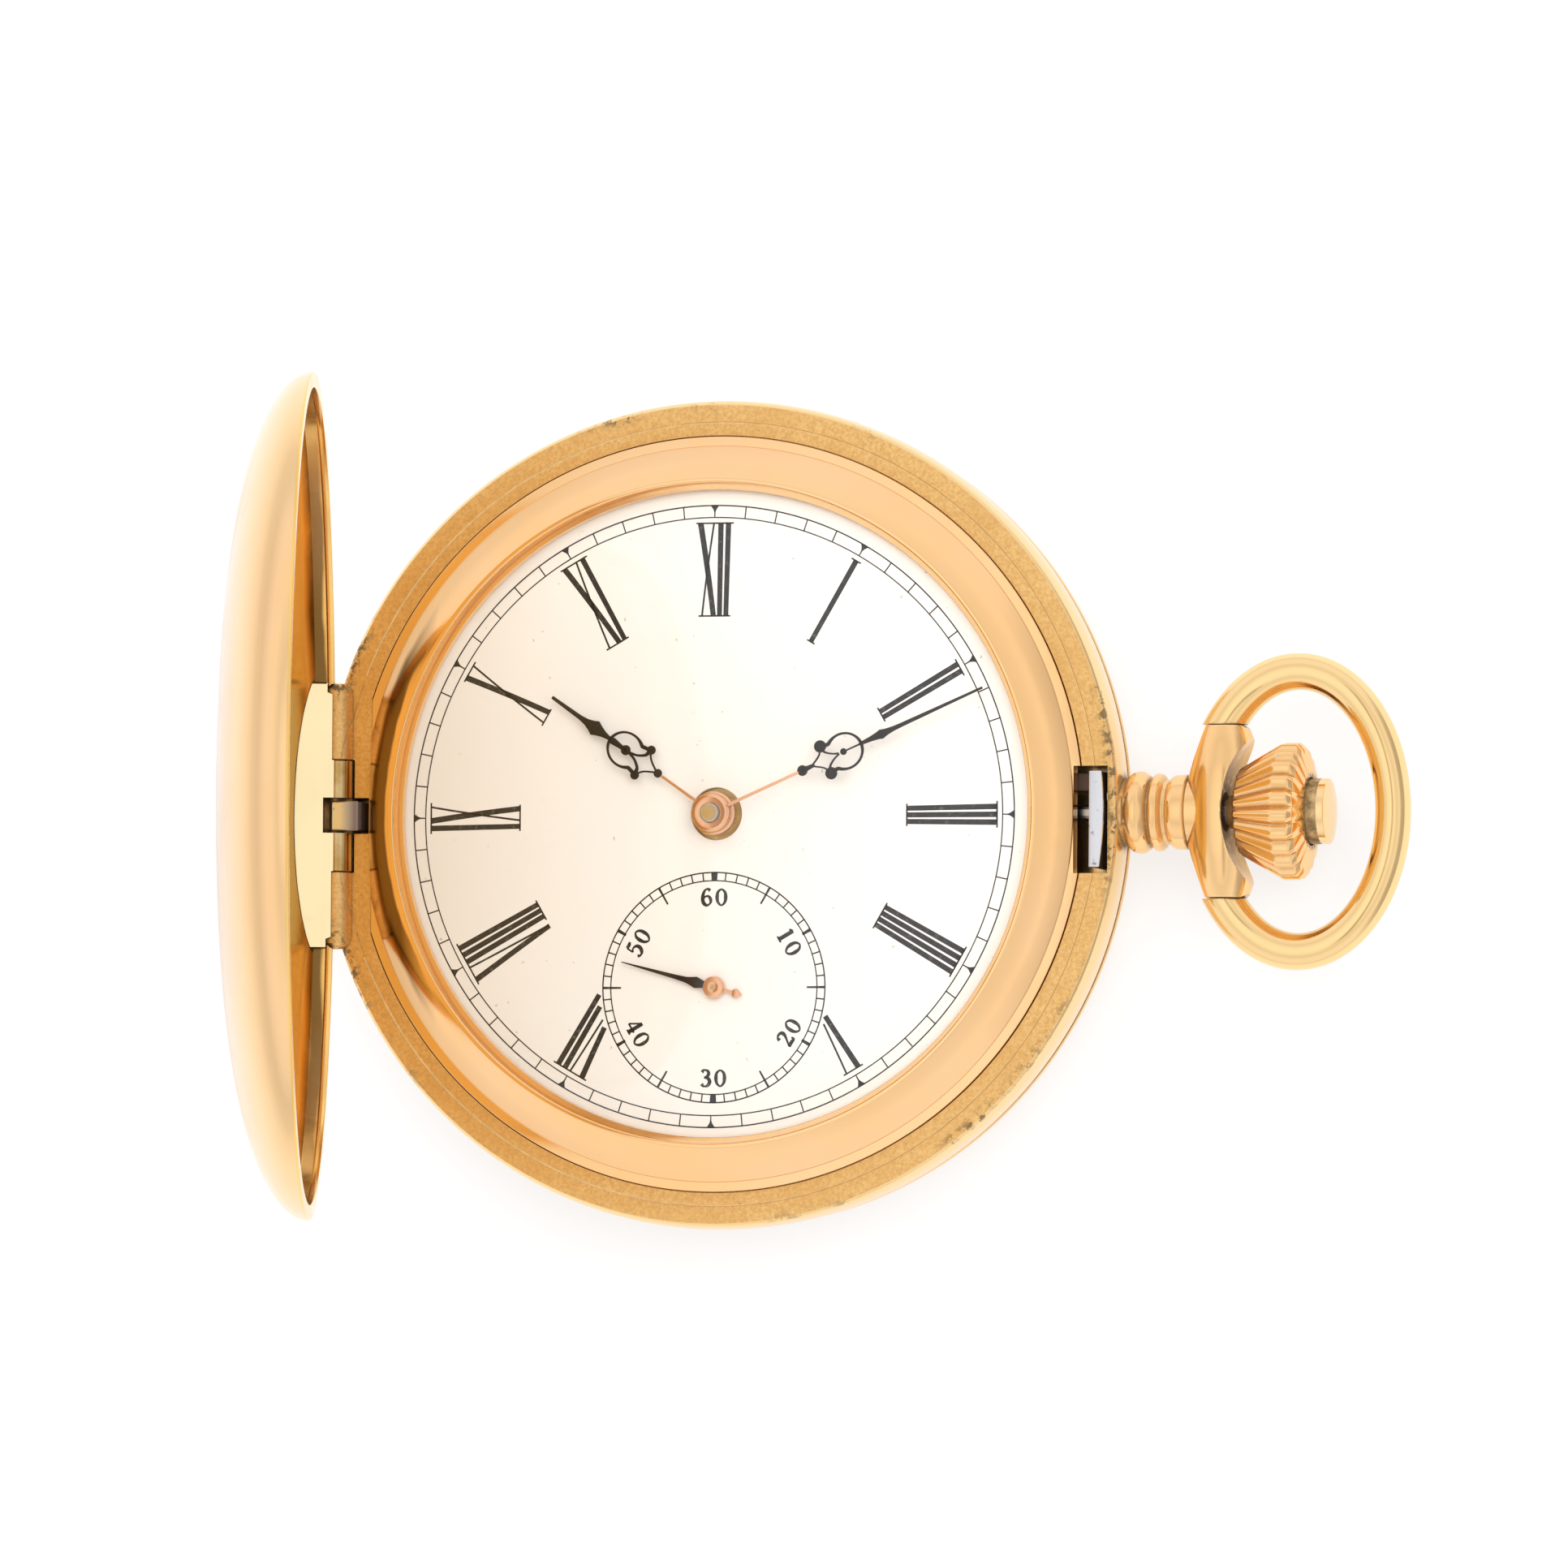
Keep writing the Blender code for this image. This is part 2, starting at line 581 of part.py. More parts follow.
def make_back_cover():
    cover = cover_shell("back_cover", BACK_R, BACK_DOME, 3.2, 0.38, 24.2, 0.5, flat_reach=7.0)
    place(cover, (0, 0, BAND_FOOT_Z - RUN - 0.1), (math.pi, 0, 0))
    room = rod("room", BACK_KNUCKLE_R + 0.08, -5.4, 5.4, "Y", (BACK_HINGE_X, BACK_HINGE_Z), segments=12)
    knuckle = rod("knuckle", BACK_KNUCKLE_R, -2.05, 2.05, "Y", (BACK_HINGE_X, BACK_HINGE_Z), segments=12)
    web = box("web", (BACK_HINGE_X, -2.05, BACK_HINGE_Z - 0.6), (BACK_HINGE_X + 1.0, 2.05, BACK_HINGE_Z - 0.2))
    hole = rod("hole", BACK_PIN_R + RUN, -9, 9, "Y", (BACK_HINGE_X, BACK_HINGE_Z), segments=8)
    pendant_room = rod("pendant_room", 2.7, 24.85, 27, "X", (0, STEM_Z))
    cover = cut(fuse(cut(cover, room, pendant_room), knuckle, web), hole)
    return finish(cover, GOLD, (BACK_HINGE_X, 0, BACK_HINGE_Z))


def make_dust_cover():
    cover = cover_shell("dust_cover", DUST_R, DUST_DOME, 8, 0.3, 22.5, 0.35, PLAIN_FRACTIONS)
    place(cover, (0, 0, BAND_FOOT_Z + 0.3), (math.pi, 0, 0))
    room = rod("room", DUST_KNUCKLE_R + 0.06, -3.4, 3.4, "Y", (DUST_HINGE_X, DUST_HINGE_Z), segments=10)
    knuckle = rod("knuckle", DUST_KNUCKLE_R, -1.3, 1.3, "Y", (DUST_HINGE_X, DUST_HINGE_Z), segments=10)
    web = box("web", (DUST_HINGE_X, -1.3, DUST_HINGE_Z - 0.3), (DUST_HINGE_X + 0.9, 1.3, DUST_HINGE_Z - 0.05))
    hole = rod("hole", DUST_PIN_R + RUN, -9, 9, "Y", (DUST_HINGE_X, DUST_HINGE_Z), segments=8)
    cover = cut(fuse(cut(cover, room), knuckle, web), hole)
    return finish(cover, GOLD, (DUST_HINGE_X, 0, DUST_HINGE_Z))


# ---------------------------------------------------------------- springs of the case
SPRING_R = 20.45
LIFT_FOOT = polar(SPRING_R, math.radians(215))
LOCK_FOOT = polar(SPRING_R, math.radians(40))


def leaf(name, thick, start, end, low, high, steps=7):
    """A leaf spring bent to the case's bore."""
    sweep = end - start
    outline = ring_points(SPRING_R + thick / 2, steps, start=start, sweep=sweep)
    outline += ring_points(SPRING_R - thick / 2, steps, start=end, sweep=-sweep)
    return flat(name, [outline], low, high)


def make_lift_spring():
    """Leaf along the bore whose steel nub reaches through the slot and pushes the cover open."""
    spring = leaf("lift_spring", 0.45, math.radians(181.0), math.radians(218), 5.2, 6.5)
    arm = box("arm", (-22.95, -0.8, 5.2), (-20.4, 0.8, 6.5))
    post = box("post", (-23.1, -0.88, 5.3), (-22.5, 0.88, SEAT_Z + 0.85))
    nub = box("nub", (-24.25, -0.93, SEAT_Z + 0.42), (-22.55, 0.93, SEAT_Z + 0.98), bevel=0.2)
    return finish(fuse(spring, arm, post, nub), STEEL, (*LIFT_FOOT, 5.9))


LIP_LOW, LIP_HIGH = -3.4, 2.4


def make_lock_spring():
    """Leaf with the catch lip that hooks the closed cover; its notch clears the winding stem."""
    spring = leaf("lock_spring", 0.45, math.radians(3.6), math.radians(42), 5.2, 6.5)
    arm = box("arm", (20.35, 1.3, 5.2), (23.8, LIP_HIGH, 6.5))
    lip = keep_inside(
        box("lip", (23.5, LIP_LOW, 5.2), (25, LIP_HIGH, SEAT_Z + 0.95)),
        cylinder("arc", 24.2, 5, SEAT_Z + 2, segments=SHELL_SEGMENTS),
    )
    nose = keep_inside(
        box("nose", (23.7, LIP_LOW, SEAT_Z + 0.45), (25, LIP_HIGH, SEAT_Z + 1.0)),
        cylinder("nose_arc", 24.33, 5, SEAT_Z + 2, segments=SHELL_SEGMENTS),
    )
    spring = fuse(spring, arm, lip, nose)
    notch = box("notch", (22, -0.95, 5), (25, 1.3, STEM_Z + 0.95))
    return finish(cut(spring, notch), STEEL, (*LOCK_FOOT, 5.9))


# ---------------------------------------------------------------- crown, button, stem
CROWN_FLUTES = 24


def make_crown():
    """Fluted crown: a ribbed cone opening to a flat band, then a chamfer and a ribbed outer face."""
    sections = [(31.6, 1.45), (34.45, 4.05), (35.65, 4.2), (36.35, 3.85), (36.7, 2.3)]
    depth = {31.6: 0.06, 34.45: 0.22, 35.65: 0.24, 36.35: 0.22, 36.7: 0.08}
    mesh = bpy.data.meshes.new("crown")
    work = bmesh.new()
    rings = []
    for x, radius in sections:
        ring = []
        for i in range(CROWN_FLUTES * 2):
            r = radius - (depth[x] if i % 2 else 0)
            angle = TAU * i / (CROWN_FLUTES * 2)
            ring.append(work.verts.new((x * MM, r * math.cos(angle) * MM, r * math.sin(angle) * MM)))
        rings.append(ring)
    count = CROWN_FLUTES * 2
    for near, far in zip(rings, rings[1:]):
        for i in range(count):
            work.faces.new((near[i], near[(i + 1) % count], far[(i + 1) % count], far[i]))
    work.faces.new(list(reversed(rings[0])))
    work.faces.new(rings[-1])
    bmesh.ops.recalc_face_normals(work, faces=work.faces)
    work.to_mesh(mesh)
    work.free()
    crown = bpy.data.objects.new("crown", mesh)
    PARTS.objects.link(crown)
    place(crown, (0, 0, STEM_Z))
    button_room = rod("button_room", 2.06, 35.4, 38, "X", (0, STEM_Z))
    stem_hole = rod("stem_hole", 0.83, 30, 34.2, "X", (0, STEM_Z), segments=16)
    rod_hole = rod("rod_hole", 0.36, 33, 37, "X", (0, STEM_Z), segments=12)
    return finish(cut(crown, button_room, stem_hole, rod_hole), GOLD, (34, 0, STEM_Z))


CROSS_BAR_X = 24.55  # the bar across the button's rod that bears on the lock spring


def make_push_button():
    profile = [
        (0, 38.14),
        (0.8, 38.14),
        (1.9, 37.85),
        (2.0, 37.7),
        (2.0, 36.2),
        (0.3, 36.2),
        (0.3, 24.3),
        (0, 24.3),
    ]
    button = turned("push_button", profile, at=(0, 0, STEM_Z), rotation=ALONG_X, segments=20)
    cross_bar = rod("cross_bar", 0.16, -1.45, 1.45, "Y", (CROSS_BAR_X, STEM_Z), segments=8)
    return finish(fuse(button, cross_bar), GOLD, (36, 0, STEM_Z))


def make_winding_stem():
    profile = [
        (0, 34.15),
        (0.78, 34.15),
        (0.78, 23.7),
        (0.5, 23.5),
        (0.5, 19.4),
        (0.3, 19.4),
        (0.3, 19.1),
        (0.5, 19.1),
        (0.5, 12.8),
        (0.3, 12.8),
        (0.3, 11.9),
        (0, 11.9),
    ]
    stem = turned("winding_stem", profile, at=(0, 0, STEM_Z), rotation=ALONG_X, segments=16)
    hollow = rod("hollow", 0.36, 23.75, 35, "X", (0, STEM_Z), segments=12)
    slot = box("slot", (23.8, -2, STEM_Z - 0.2), (24.8, 2, STEM_Z + 0.2))
    return finish(cut(stem, hollow, slot), STEEL, (20, 0, STEM_Z))


def winding_gear(name, start, end, radius, teeth, bore, groove=None):
    """A small gear on the stem, optionally with a groove for the yoke lever."""
    outline = pinion_outline(teeth, 2 * radius / (teeth + 1.4), 0)
    gear = flat(name, [outline, ring_points(bore, 12)], start, end)
    gear = as_mesh(gear)
    gear.data.transform(Matrix.Translation((0, 0, STEM_Z * MM)) @ Matrix.Rotation(math.pi / 2, 4, "Y"))
    if groove:
        low, high, depth = groove
        gear = cut(gear, turned("groove", [(depth, high), (3, high), (3, low), (depth, low)], closed=True,
                                at=(0, 0, STEM_Z), rotation=ALONG_X))
    return finish(gear, STEEL, ((start + end) / 2, 0, STEM_Z))


# ---------------------------------------------------------------- bow
def make_bow():
    """An oval wire ring, open at the yoke, with a pivot at each end."""
    centre_x, half_x, half_y, wire = 35.85, 5.85, 8.42, 1.06
    start = math.acos((BOW_X - centre_x) / half_x)
    steps = 25
    curve = bpy.data.curves.new("bow", "CURVE")
    curve.dimensions = "3D"
    curve.bevel_depth = wire * MM
    curve.bevel_resolution = 2
    curve.use_fill_caps = True
    spline = curve.splines.new("POLY")
    spline.points.add(steps - 1)
    for i, point in enumerate(spline.points):
        angle = start * (1 - 2 * i / (steps - 1))
        point.co = ((centre_x + half_x * math.cos(angle)) * MM, half_y * math.sin(angle) * MM, STEM_Z * MM, 1)
        point.radius = 1.0 + 0.16 * abs(1 - 2 * i / (steps - 1)) ** 3
    bow = bpy.data.objects.new("bow", curve)
    PARTS.objects.link(bow)
    end_room = box("end_room", (25, -5.27, 0), (34, 5.27, 12))
    bow = cut(bow, end_room)
    pivots = [
        rod(f"pivot_{i}", 0.55, min(a, b), max(a, b), "Y", (BOW_X, STEM_Z), segments=12)
        for i, (a, b) in enumerate(((4.3, 6.2), (-4.3, -6.2)))
    ]
    return finish(fuse(bow, *pivots), GOLD, (BOW_X, 0, STEM_Z))


# ---------------------------------------------------------------- movement: plates and bridges
PIVOT_R = 0.16


def plate_holes(points, low, high, radius=PIVOT_R + 0.04):
    return [cylinder(f"hole_{i}", radius, low, high, at=p, segments=10) for i, p in enumerate(points)]


def make_mainplate():
    """Plate with a rim that fills the case's bore, sunk on the dial side for the motion work."""
    profile = [(0, PLATE_TOP_Z), (BORE_R - RUN, PLATE_TOP_Z), (BORE_R - RUN, PLATE_TOP_Z - 0.5)]
    profile += [(PLATE_R, PLATE_TOP_Z - 0.5), (PLATE_R, PLATE_FOOT_Z), (0, PLATE_FOOT_Z)]
    plate = turned("mainplate", profile, segments=SHELL_SEGMENTS)
    motion_recess = cylinder("motion_recess", 9.3, 6.6, 8, at=(5.2, 0), segments=28)
    stem_channel = box("stem_channel", (9, -0.62, 5), (21, 0.62, STEM_Z + 0.62))
    winding_slot = box("winding_slot", (12.4, -1.75, 5), (17.4, 1.75, 8))
    lever_recess = box("lever_recess", (17.0, -0.8, 6.66), (21.5, 4.6, 8))
    pin_slot = box("pin_slot", (18.9, -0.4, 6), (21.5, 0.62, 8))
    yoke_recess = box("yoke_recess", (12.4, -6.0, 5), (15.4, -1.6, 6.42))
    centre_hole = cylinder("centre_hole", 0.66, 5, 8, segments=16)
    seconds_hole = cylinder("seconds_hole", 0.32, 5, 8, at=FOURTH_AT, segments=12)
    barrel_hole = cylinder("barrel_hole", 1.0, 5, 8, at=BARREL_AT, segments=16)
    train_points = (THIRD_AT, ESCAPE_AT, PALLET_AT, BALANCE_AT)
    feet = [
        cylinder(f"foot_hole_{i}", 0.45, 6, 8, at=polar(17.6, math.radians(a)), segments=12)
        for i, a in enumerate(DIAL_FOOT_ANGLES)
    ]
    plate = cut(plate, motion_recess, stem_channel, winding_slot, lever_recess, pin_slot, yoke_recess)
    plate = cut(plate, centre_hole, seconds_hole, barrel_hole, *plate_holes(train_points, 5, 7), *feet)
    studs = [
        cylinder("minute_stud", 0.55, 6.5, 7.5, at=MINUTE_AT, segments=12),
        cylinder("setting_stud", 0.6, 6.5, 7.5, at=SETTING_AT, segments=12),
        cylinder("lever_stud", 0.3, 6.5, 7.3, at=SETTING_LEVER_AT, segments=10),
    ]
    return finish(fuse(plate, *studs), NICKEL)


def bridge(name, outline, low=BRIDGE_FOOT_Z, high=BRIDGE_TOP_Z):
    return flat(name, [outline], low, high)


def screw_holes(points):
    return [cylinder(f"screw_hole_{i}", 0.34, 2, 4.1, at=p, segments=10) for i, p in enumerate(points)]


def foot(at, radius=1.2, low=BRIDGE_FOOT_Z + 0.3, high=PLATE_FOOT_Z - 0.02):
    return cylinder("foot", radius, low, high, at=at, segments=12)


BARREL_BRIDGE_FEET = (polar(17.6, math.radians(112)), polar(17.6, math.radians(-14)))
TRAIN_BRIDGE_FEET = (polar(16.6, math.radians(-62)), polar(17.2, math.radians(-106)))
COCK_FOOT = polar(17.4, math.radians(188))
PALLET_FOOT = (-8.9, -14.0)


def arc(radius, start, end, count=9, at=(0, 0)):
    first, last = math.radians(start), math.radians(end)
    return ring_points(radius, count, at=at, start=first, sweep=last - first)


CROWN_WHEEL_SCREWS = (polar(5.3, math.radians(-62), CROWN_WHEEL_AT), polar(5.3, math.radians(75), CROWN_WHEEL_AT))


def make_barrel_bridge():
    """Bridge over the barrel; the crown wheel's skirt turns in its large bore."""
    outline = arc(19.2, -22, 128, 13) + arc(1.9, 170, 250, 4, at=(-1.6, 1.4)) + [(3.0, -2.6), (12.0, -6.6)]
    plate = bridge("barrel_bridge", outline)
    plate = fuse(plate, *(foot(p) for p in BARREL_BRIDGE_FEET))
    skirt_bore = cylinder("skirt_bore", SKIRT_R + RUN, 2, 4, at=CROWN_WHEEL_AT, segments=24)
    arbor_hole = cylinder("arbor_hole", 1.0, 2, 4, at=BARREL_AT, segments=16)
    holes = plate_holes([(0, 0)], 2, 4)
    screws = screw_holes((*BARREL_BRIDGE_FEET, *CROWN_WHEEL_SCREWS))
    return finish(cut(plate, skirt_bore, arbor_hole, *holes, *screws), NICKEL)


def make_train_bridge():
    notch = [polar(5.95, a, BALANCE_AT) for a in (math.radians(d) for d in (0, -15, -30, -45, -60))]
    outline = arc(19.0, -116, -34, 13) + [(4.6, -4.2), (1.4, -4.0), (-2.4, -7.2)] + notch + [(-6.4, -15.5)]
    plate = fuse(bridge("train_bridge", outline), *(foot(p) for p in TRAIN_BRIDGE_FEET))
    plate = cut(plate, *plate_holes((THIRD_AT, FOURTH_AT, ESCAPE_AT), 2, 4), *screw_holes(TRAIN_BRIDGE_FEET))
    return finish(plate, NICKEL)


def make_pallet_bridge():
    """Low bar over the pallet staff, clear below the balance."""
    across = direction(PALLET_AT, PALLET_FOOT)
    bar = [
        polar(0.75, across + math.pi / 2, PALLET_FOOT),
        polar(0.75, across - math.pi / 2, PALLET_FOOT),
        polar(0.55, across - math.pi / 2, PALLET_AT),
        polar(0.55, across + math.pi, PALLET_AT),
        polar(0.55, across + math.pi / 2, PALLET_AT),
    ]
    plate = fuse(flat("pallet_bridge", [bar], 4.1, 4.34), foot(PALLET_FOOT, 0.7, 4.2))
    return finish(cut(plate, *plate_holes([PALLET_AT], 4, 4.5)), NICKEL)


def make_balance_cock():
    """Cock over the balance with a foot at the plate's edge."""
    away = direction(BALANCE_AT, COCK_FOOT)
    outline = ring_points(1.9, 7, at=BALANCE_AT, start=away + math.radians(100), sweep=math.radians(160))
    outline += [polar(3.0, away - math.radians(90), COCK_FOOT), polar(19.0, math.radians(179))]
    outline += [polar(19.2, math.radians(188)), polar(19.0, math.radians(197))]
    plate = fuse(bridge("balance_cock", outline, 2.2, 2.75), foot(COCK_FOOT, 1.25, 2.5))
    return finish(cut(plate, *plate_holes([BALANCE_AT], 2, 3), *screw_holes([COCK_FOOT])), NICKEL)


# ---------------------------------------------------------------- movement: winding and barrel
BARREL_LOW, BARREL_HIGH = 3.42, 5.2
BARREL_DRUM_R = 7.1


def make_barrel():
    outline = wheel_outline(BARREL_TEETH, BARREL_MODULE, direction(BARREL_AT, (0, 0)))
    teeth = flat("barrel", [outline, ring_points(6.4, 24)], 4.75, 5.05, at=BARREL_AT)
    profile = [(6.75, BARREL_HIGH), (BARREL_DRUM_R, BARREL_HIGH), (BARREL_DRUM_R, BARREL_LOW)]
    profile += [(1.15, BARREL_LOW), (1.15, BARREL_LOW + 0.22), (6.75, BARREL_LOW + 0.22)]
    drum = turned("drum", profile, closed=True, segments=24, at=(*BARREL_AT, 0))
    clear = cylinder("clear", 6.75, BARREL_LOW + 0.22, 6, at=BARREL_AT, segments=24)
    return finish(cut(fuse(teeth, drum), clear), BRASS, (*BARREL_AT, 4.3))


def make_barrel_cover():
    cover = tube("barrel_cover", 1.15, 6.68, BARREL_HIGH - 0.2, BARREL_HIGH, at=BARREL_AT, segments=24)
    return finish(cover, BRASS, (*BARREL_AT, 4.3))


def spiral(name, inner, outer, turns, thick, low, high, at, points_per_turn=12):
    """A flat spiral strip: the outline follows one face outwards and the other back."""
    count = int(turns * points_per_turn)
    pitch = (outer - inner) / turns

    def strip(offset):
        return [
            polar(inner + pitch * turns * i / count + offset, TAU * turns * i / count)
            for i in range(count + 1)
        ]

    return flat(name, [strip(thick / 2) + list(reversed(strip(-thick / 2)))], low, high, at=at)


def make_mainspring():
    spring = spiral("mainspring", 2.0, 6.4, 5, 0.16, BARREL_LOW + 0.3, BARREL_HIGH - 0.3, BARREL_AT, 9)
    return finish(spring, STEEL)


def make_barrel_arbor():
    sections = [(0.9, 5.3, 5.75), (1.05, 5.05, 5.3), (1.5, 3.72, 4.94), (1.05, 3.4, 3.72), (0.9, 2.1, 3.4)]
    profile = [(0, 5.75), (0.9, 5.75), (0.9, 5.05), (1.5, 4.94), (1.5, 3.72), (0.9, 3.6), (0.9, 2.46)]
    profile += [(0.7, 2.46), (0.7, 2.08), (0, 2.08)]
    body = turned("barrel_arbor", profile, at=(*BARREL_AT, 0), segments=16)
    return finish(cut(body, cylinder("tapped", 0.4, 1, 3.0, at=BARREL_AT, segments=10)), STEEL, (*BARREL_AT, 4.3))


WINDING_LOW, WINDING_HIGH = 2.08, 2.4
RATCHET_TO_CROWN = math.hypot(CROWN_WHEEL_AT[0] - BARREL_AT[0], CROWN_WHEEL_AT[1] - BARREL_AT[1])
WINDING_MODULE = 2 * RATCHET_TO_CROWN / (RATCHET_TEETH + CROWN_WHEEL_TEETH)
RATCHET_PHASE = direction(BARREL_AT, CROWN_WHEEL_AT)


def make_ratchet_wheel():
    outline = wheel_outline(RATCHET_TEETH, WINDING_MODULE, RATCHET_PHASE)
    wheel = flat("ratchet_wheel", [outline, ring_points(0.76, 12)], WINDING_LOW, WINDING_HIGH, at=BARREL_AT)
    return finish(wheel, STEEL, (*BARREL_AT, 2.2))


SKIRT_R = 3.6


def make_crown_wheel():
    """Flat teeth for the ratchet wheel, and a skirt whose face teeth the winding pinion turns."""
    phase = meshing_phase(RATCHET_TEETH, RATCHET_PHASE, RATCHET_PHASE, CROWN_WHEEL_TEETH)
    outline = wheel_outline(CROWN_WHEEL_TEETH, WINDING_MODULE, phase)
    wheel = flat("crown_wheel", [outline, ring_points(0.75, 12)], WINDING_LOW, WINDING_HIGH, at=CROWN_WHEEL_AT)
    skirt = tube("skirt", SKIRT_R - 0.55, SKIRT_R, WINDING_HIGH - 0.1, 4.25, at=CROWN_WHEEL_AT, segments=24)
    return finish(fuse(wheel, skirt), STEEL, (*CROWN_WHEEL_AT, 2.2))


CLICK_AT = (7.6, 15.4)


def make_click():
    """Pawl whose tip stands just clear of the ratchet's teeth."""
    aim = direction(CLICK_AT, BARREL_AT)
    reach = math.hypot(BARREL_AT[0] - CLICK_AT[0], BARREL_AT[1] - CLICK_AT[1])
    tip = reach - RATCHET_TEETH * WINDING_MODULE / 2 - 0.75 * WINDING_MODULE - 0.08
    outline = ring_points(0.85, 9, start=aim + math.radians(60), sweep=math.radians(240))
    outline += [polar(tip, aim - 0.16), polar(tip * 0.9, aim + 0.3)]
    click = flat("click", [outline, ring_points(0.36, 10)], WINDING_LOW, WINDING_HIGH, at=CLICK_AT)
    return finish(click, STEEL, (*CLICK_AT, 2.2))


def make_click_spring():
    """Bent wire that holds the click against the ratchet wheel."""
    points = [(11.4, 13.4), (11.3, 14.3), (10.6, 14.9), (9.4, 15.25), (8.75, 15.35)]
    outline = [(x, y + 0.11) for x, y in points] + [(x - 0.12, y - 0.11) for x, y in reversed(points)]
    spring = flat("click_spring", [outline], WINDING_LOW + 0.05, WINDING_HIGH - 0.05)
    stud = cylinder("stud", 0.45, WINDING_LOW, WINDING_HIGH, at=(11.35, 13.3), segments=12)
    return finish(fuse(spring, stud), STEEL)


def make_screw(name, at, head_low, head_high, shank_high, head_r=0.75, shank_r=0.3):
    """A slotted screw whose head faces the back."""
    profile = [(0, shank_high), (shank_r, shank_high), (shank_r, head_high), (head_r, head_high)]
    profile += [(head_r, head_low), (0, head_low)]
    screw = turned(name, profile, segments=12, at=(*at, 0))
    slot = box("slot", (at[0] - 1, at[1] - 0.09, head_low - 1), (at[0] + 1, at[1] + 0.09, head_low + 0.08))
    return finish(cut(screw, slot), STEEL, (*at, head_low))


def make_screws():
    make_screw("ratchet_screw", BARREL_AT, 1.86, 2.06, 2.9, head_r=1.1, shank_r=0.35)
    for i, at in enumerate(CROWN_WHEEL_SCREWS):
        make_screw(f"crown_wheel_screw_{i + 1}", at, 1.94, 2.05, 2.9, head_r=0.7)
    for i, at in enumerate(BARREL_BRIDGE_FEET):
        make_screw(f"barrel_bridge_screw_{i + 1}", at, 2.2, 2.42, 4.0)
    for i, at in enumerate(TRAIN_BRIDGE_FEET):
        make_screw(f"train_bridge_screw_{i + 1}", at, 2.2, 2.42, 4.0)
    make_screw("balance_cock_screw", COCK_FOOT, 2.04, 2.18, 4.0, head_r=0.7)


# ---------------------------------------------------------------- movement: train
def train_wheel(name, at, teeth, module, phase, low, high, spokes, pinion, sections, look=BRASS):
    """A spoked wheel, its pinion and its arbor as one body. pinion is (leaves, module, phase, low, high)."""
    pitch = teeth * module / 2
    windows = spoke_windows(max(0.9, 0.22 * pitch), pitch * 0.8, spokes, 0.34)
    wheel = flat(name, [wheel_outline(teeth, module, phase), *windows], low, high, at=at)
    leaves, leaf_module, leaf_phase, leaf_low, leaf_high = pinion
    gear = flat("pinion", [pinion_outline(leaves, leaf_module, leaf_phase)], leaf_low, leaf_high, at=at)
    return finish(fuse(wheel, gear, arbor("arbor", sections, at)), look, (*at, (low + high) / 2))


def make_train():
    centre = (0.0, 0.0)
    to_centre = direction(BARREL_AT, centre)
    to_third = direction(centre, THIRD_AT)
    to_fourth = direction(THIRD_AT, FOURTH_AT)
    to_escape = direction(FOURTH_AT, ESCAPE_AT)
    centre_phase = meshing_phase(BARREL_TEETH, to_centre, to_centre, CENTRE_LEAVES)
    third_phase = meshing_phase(CENTRE_TEETH, to_third, to_third, THIRD_LEAVES)
    fourth_phase = meshing_phase(THIRD_TEETH, to_fourth, to_fourth, FOURTH_LEAVES)
    train_wheel(
        "centre_wheel", centre, CENTRE_TEETH, CENTRE_MODULE, to_third, 5.36, 5.6, 4,
        (CENTRE_LEAVES, BARREL_MODULE, centre_phase, 4.55, 5.4),
        [(0.56, 5.5, 9.85), (0.62, 4.4, 5.5), (0.35, 3.35, 4.4), (PIVOT_R, 2.9, 3.35)],
    )
    train_wheel(
        "third_wheel", THIRD_AT, THIRD_TEETH, THIRD_MODULE, to_fourth, 4.55, 4.78, 4,
        (THIRD_LEAVES, CENTRE_MODULE, third_phase, 5.22, 5.68),
        [(PIVOT_R, 5.6, 6.2), (0.4, 4.3, 5.65), (0.3, 3.35, 4.3), (PIVOT_R, 2.9, 3.35)],
    )
    train_wheel(
        "fourth_wheel", FOURTH_AT, FOURTH_TEETH, FOURTH_MODULE, to_escape, 3.82, 4.04, 4,
        (FOURTH_LEAVES, THIRD_MODULE, fourth_phase, 4.42, 4.95),
        [(0.24, 5.6, 8.5), (0.4, 3.7, 5.6), (0.3, 3.35, 3.7), (PIVOT_R, 2.9, 3.35)],
    )
    escape_outline = []
    for i in range(ESCAPE_TEETH):
        start = TAU * i / ESCAPE_TEETH
        escape_outline += [polar(2.62, start), polar(1.95, start + 0.06), polar(1.95, start + 0.3)]
    wheel = flat("escape_wheel", [escape_outline, *spoke_windows(0.6, 1.6, 4, 0.3)], 4.5, 4.7, at=ESCAPE_AT)
    leaf_phase = meshing_phase(FOURTH_TEETH, to_escape, to_escape, ESCAPE_LEAVES)
    gear = flat("pinion", [pinion_outline(ESCAPE_LEAVES, FOURTH_MODULE, leaf_phase)], 3.65, 4.25, at=ESCAPE_AT)
    sections = [(PIVOT_R, 5.6, 6.2), (0.28, 3.6, 5.6), (0.2, 3.35, 3.6), (PIVOT_R, 2.9, 3.35)]
    finish(fuse(wheel, gear, arbor("arbor", sections, ESCAPE_AT)), STEEL, (*ESCAPE_AT, 4.6))


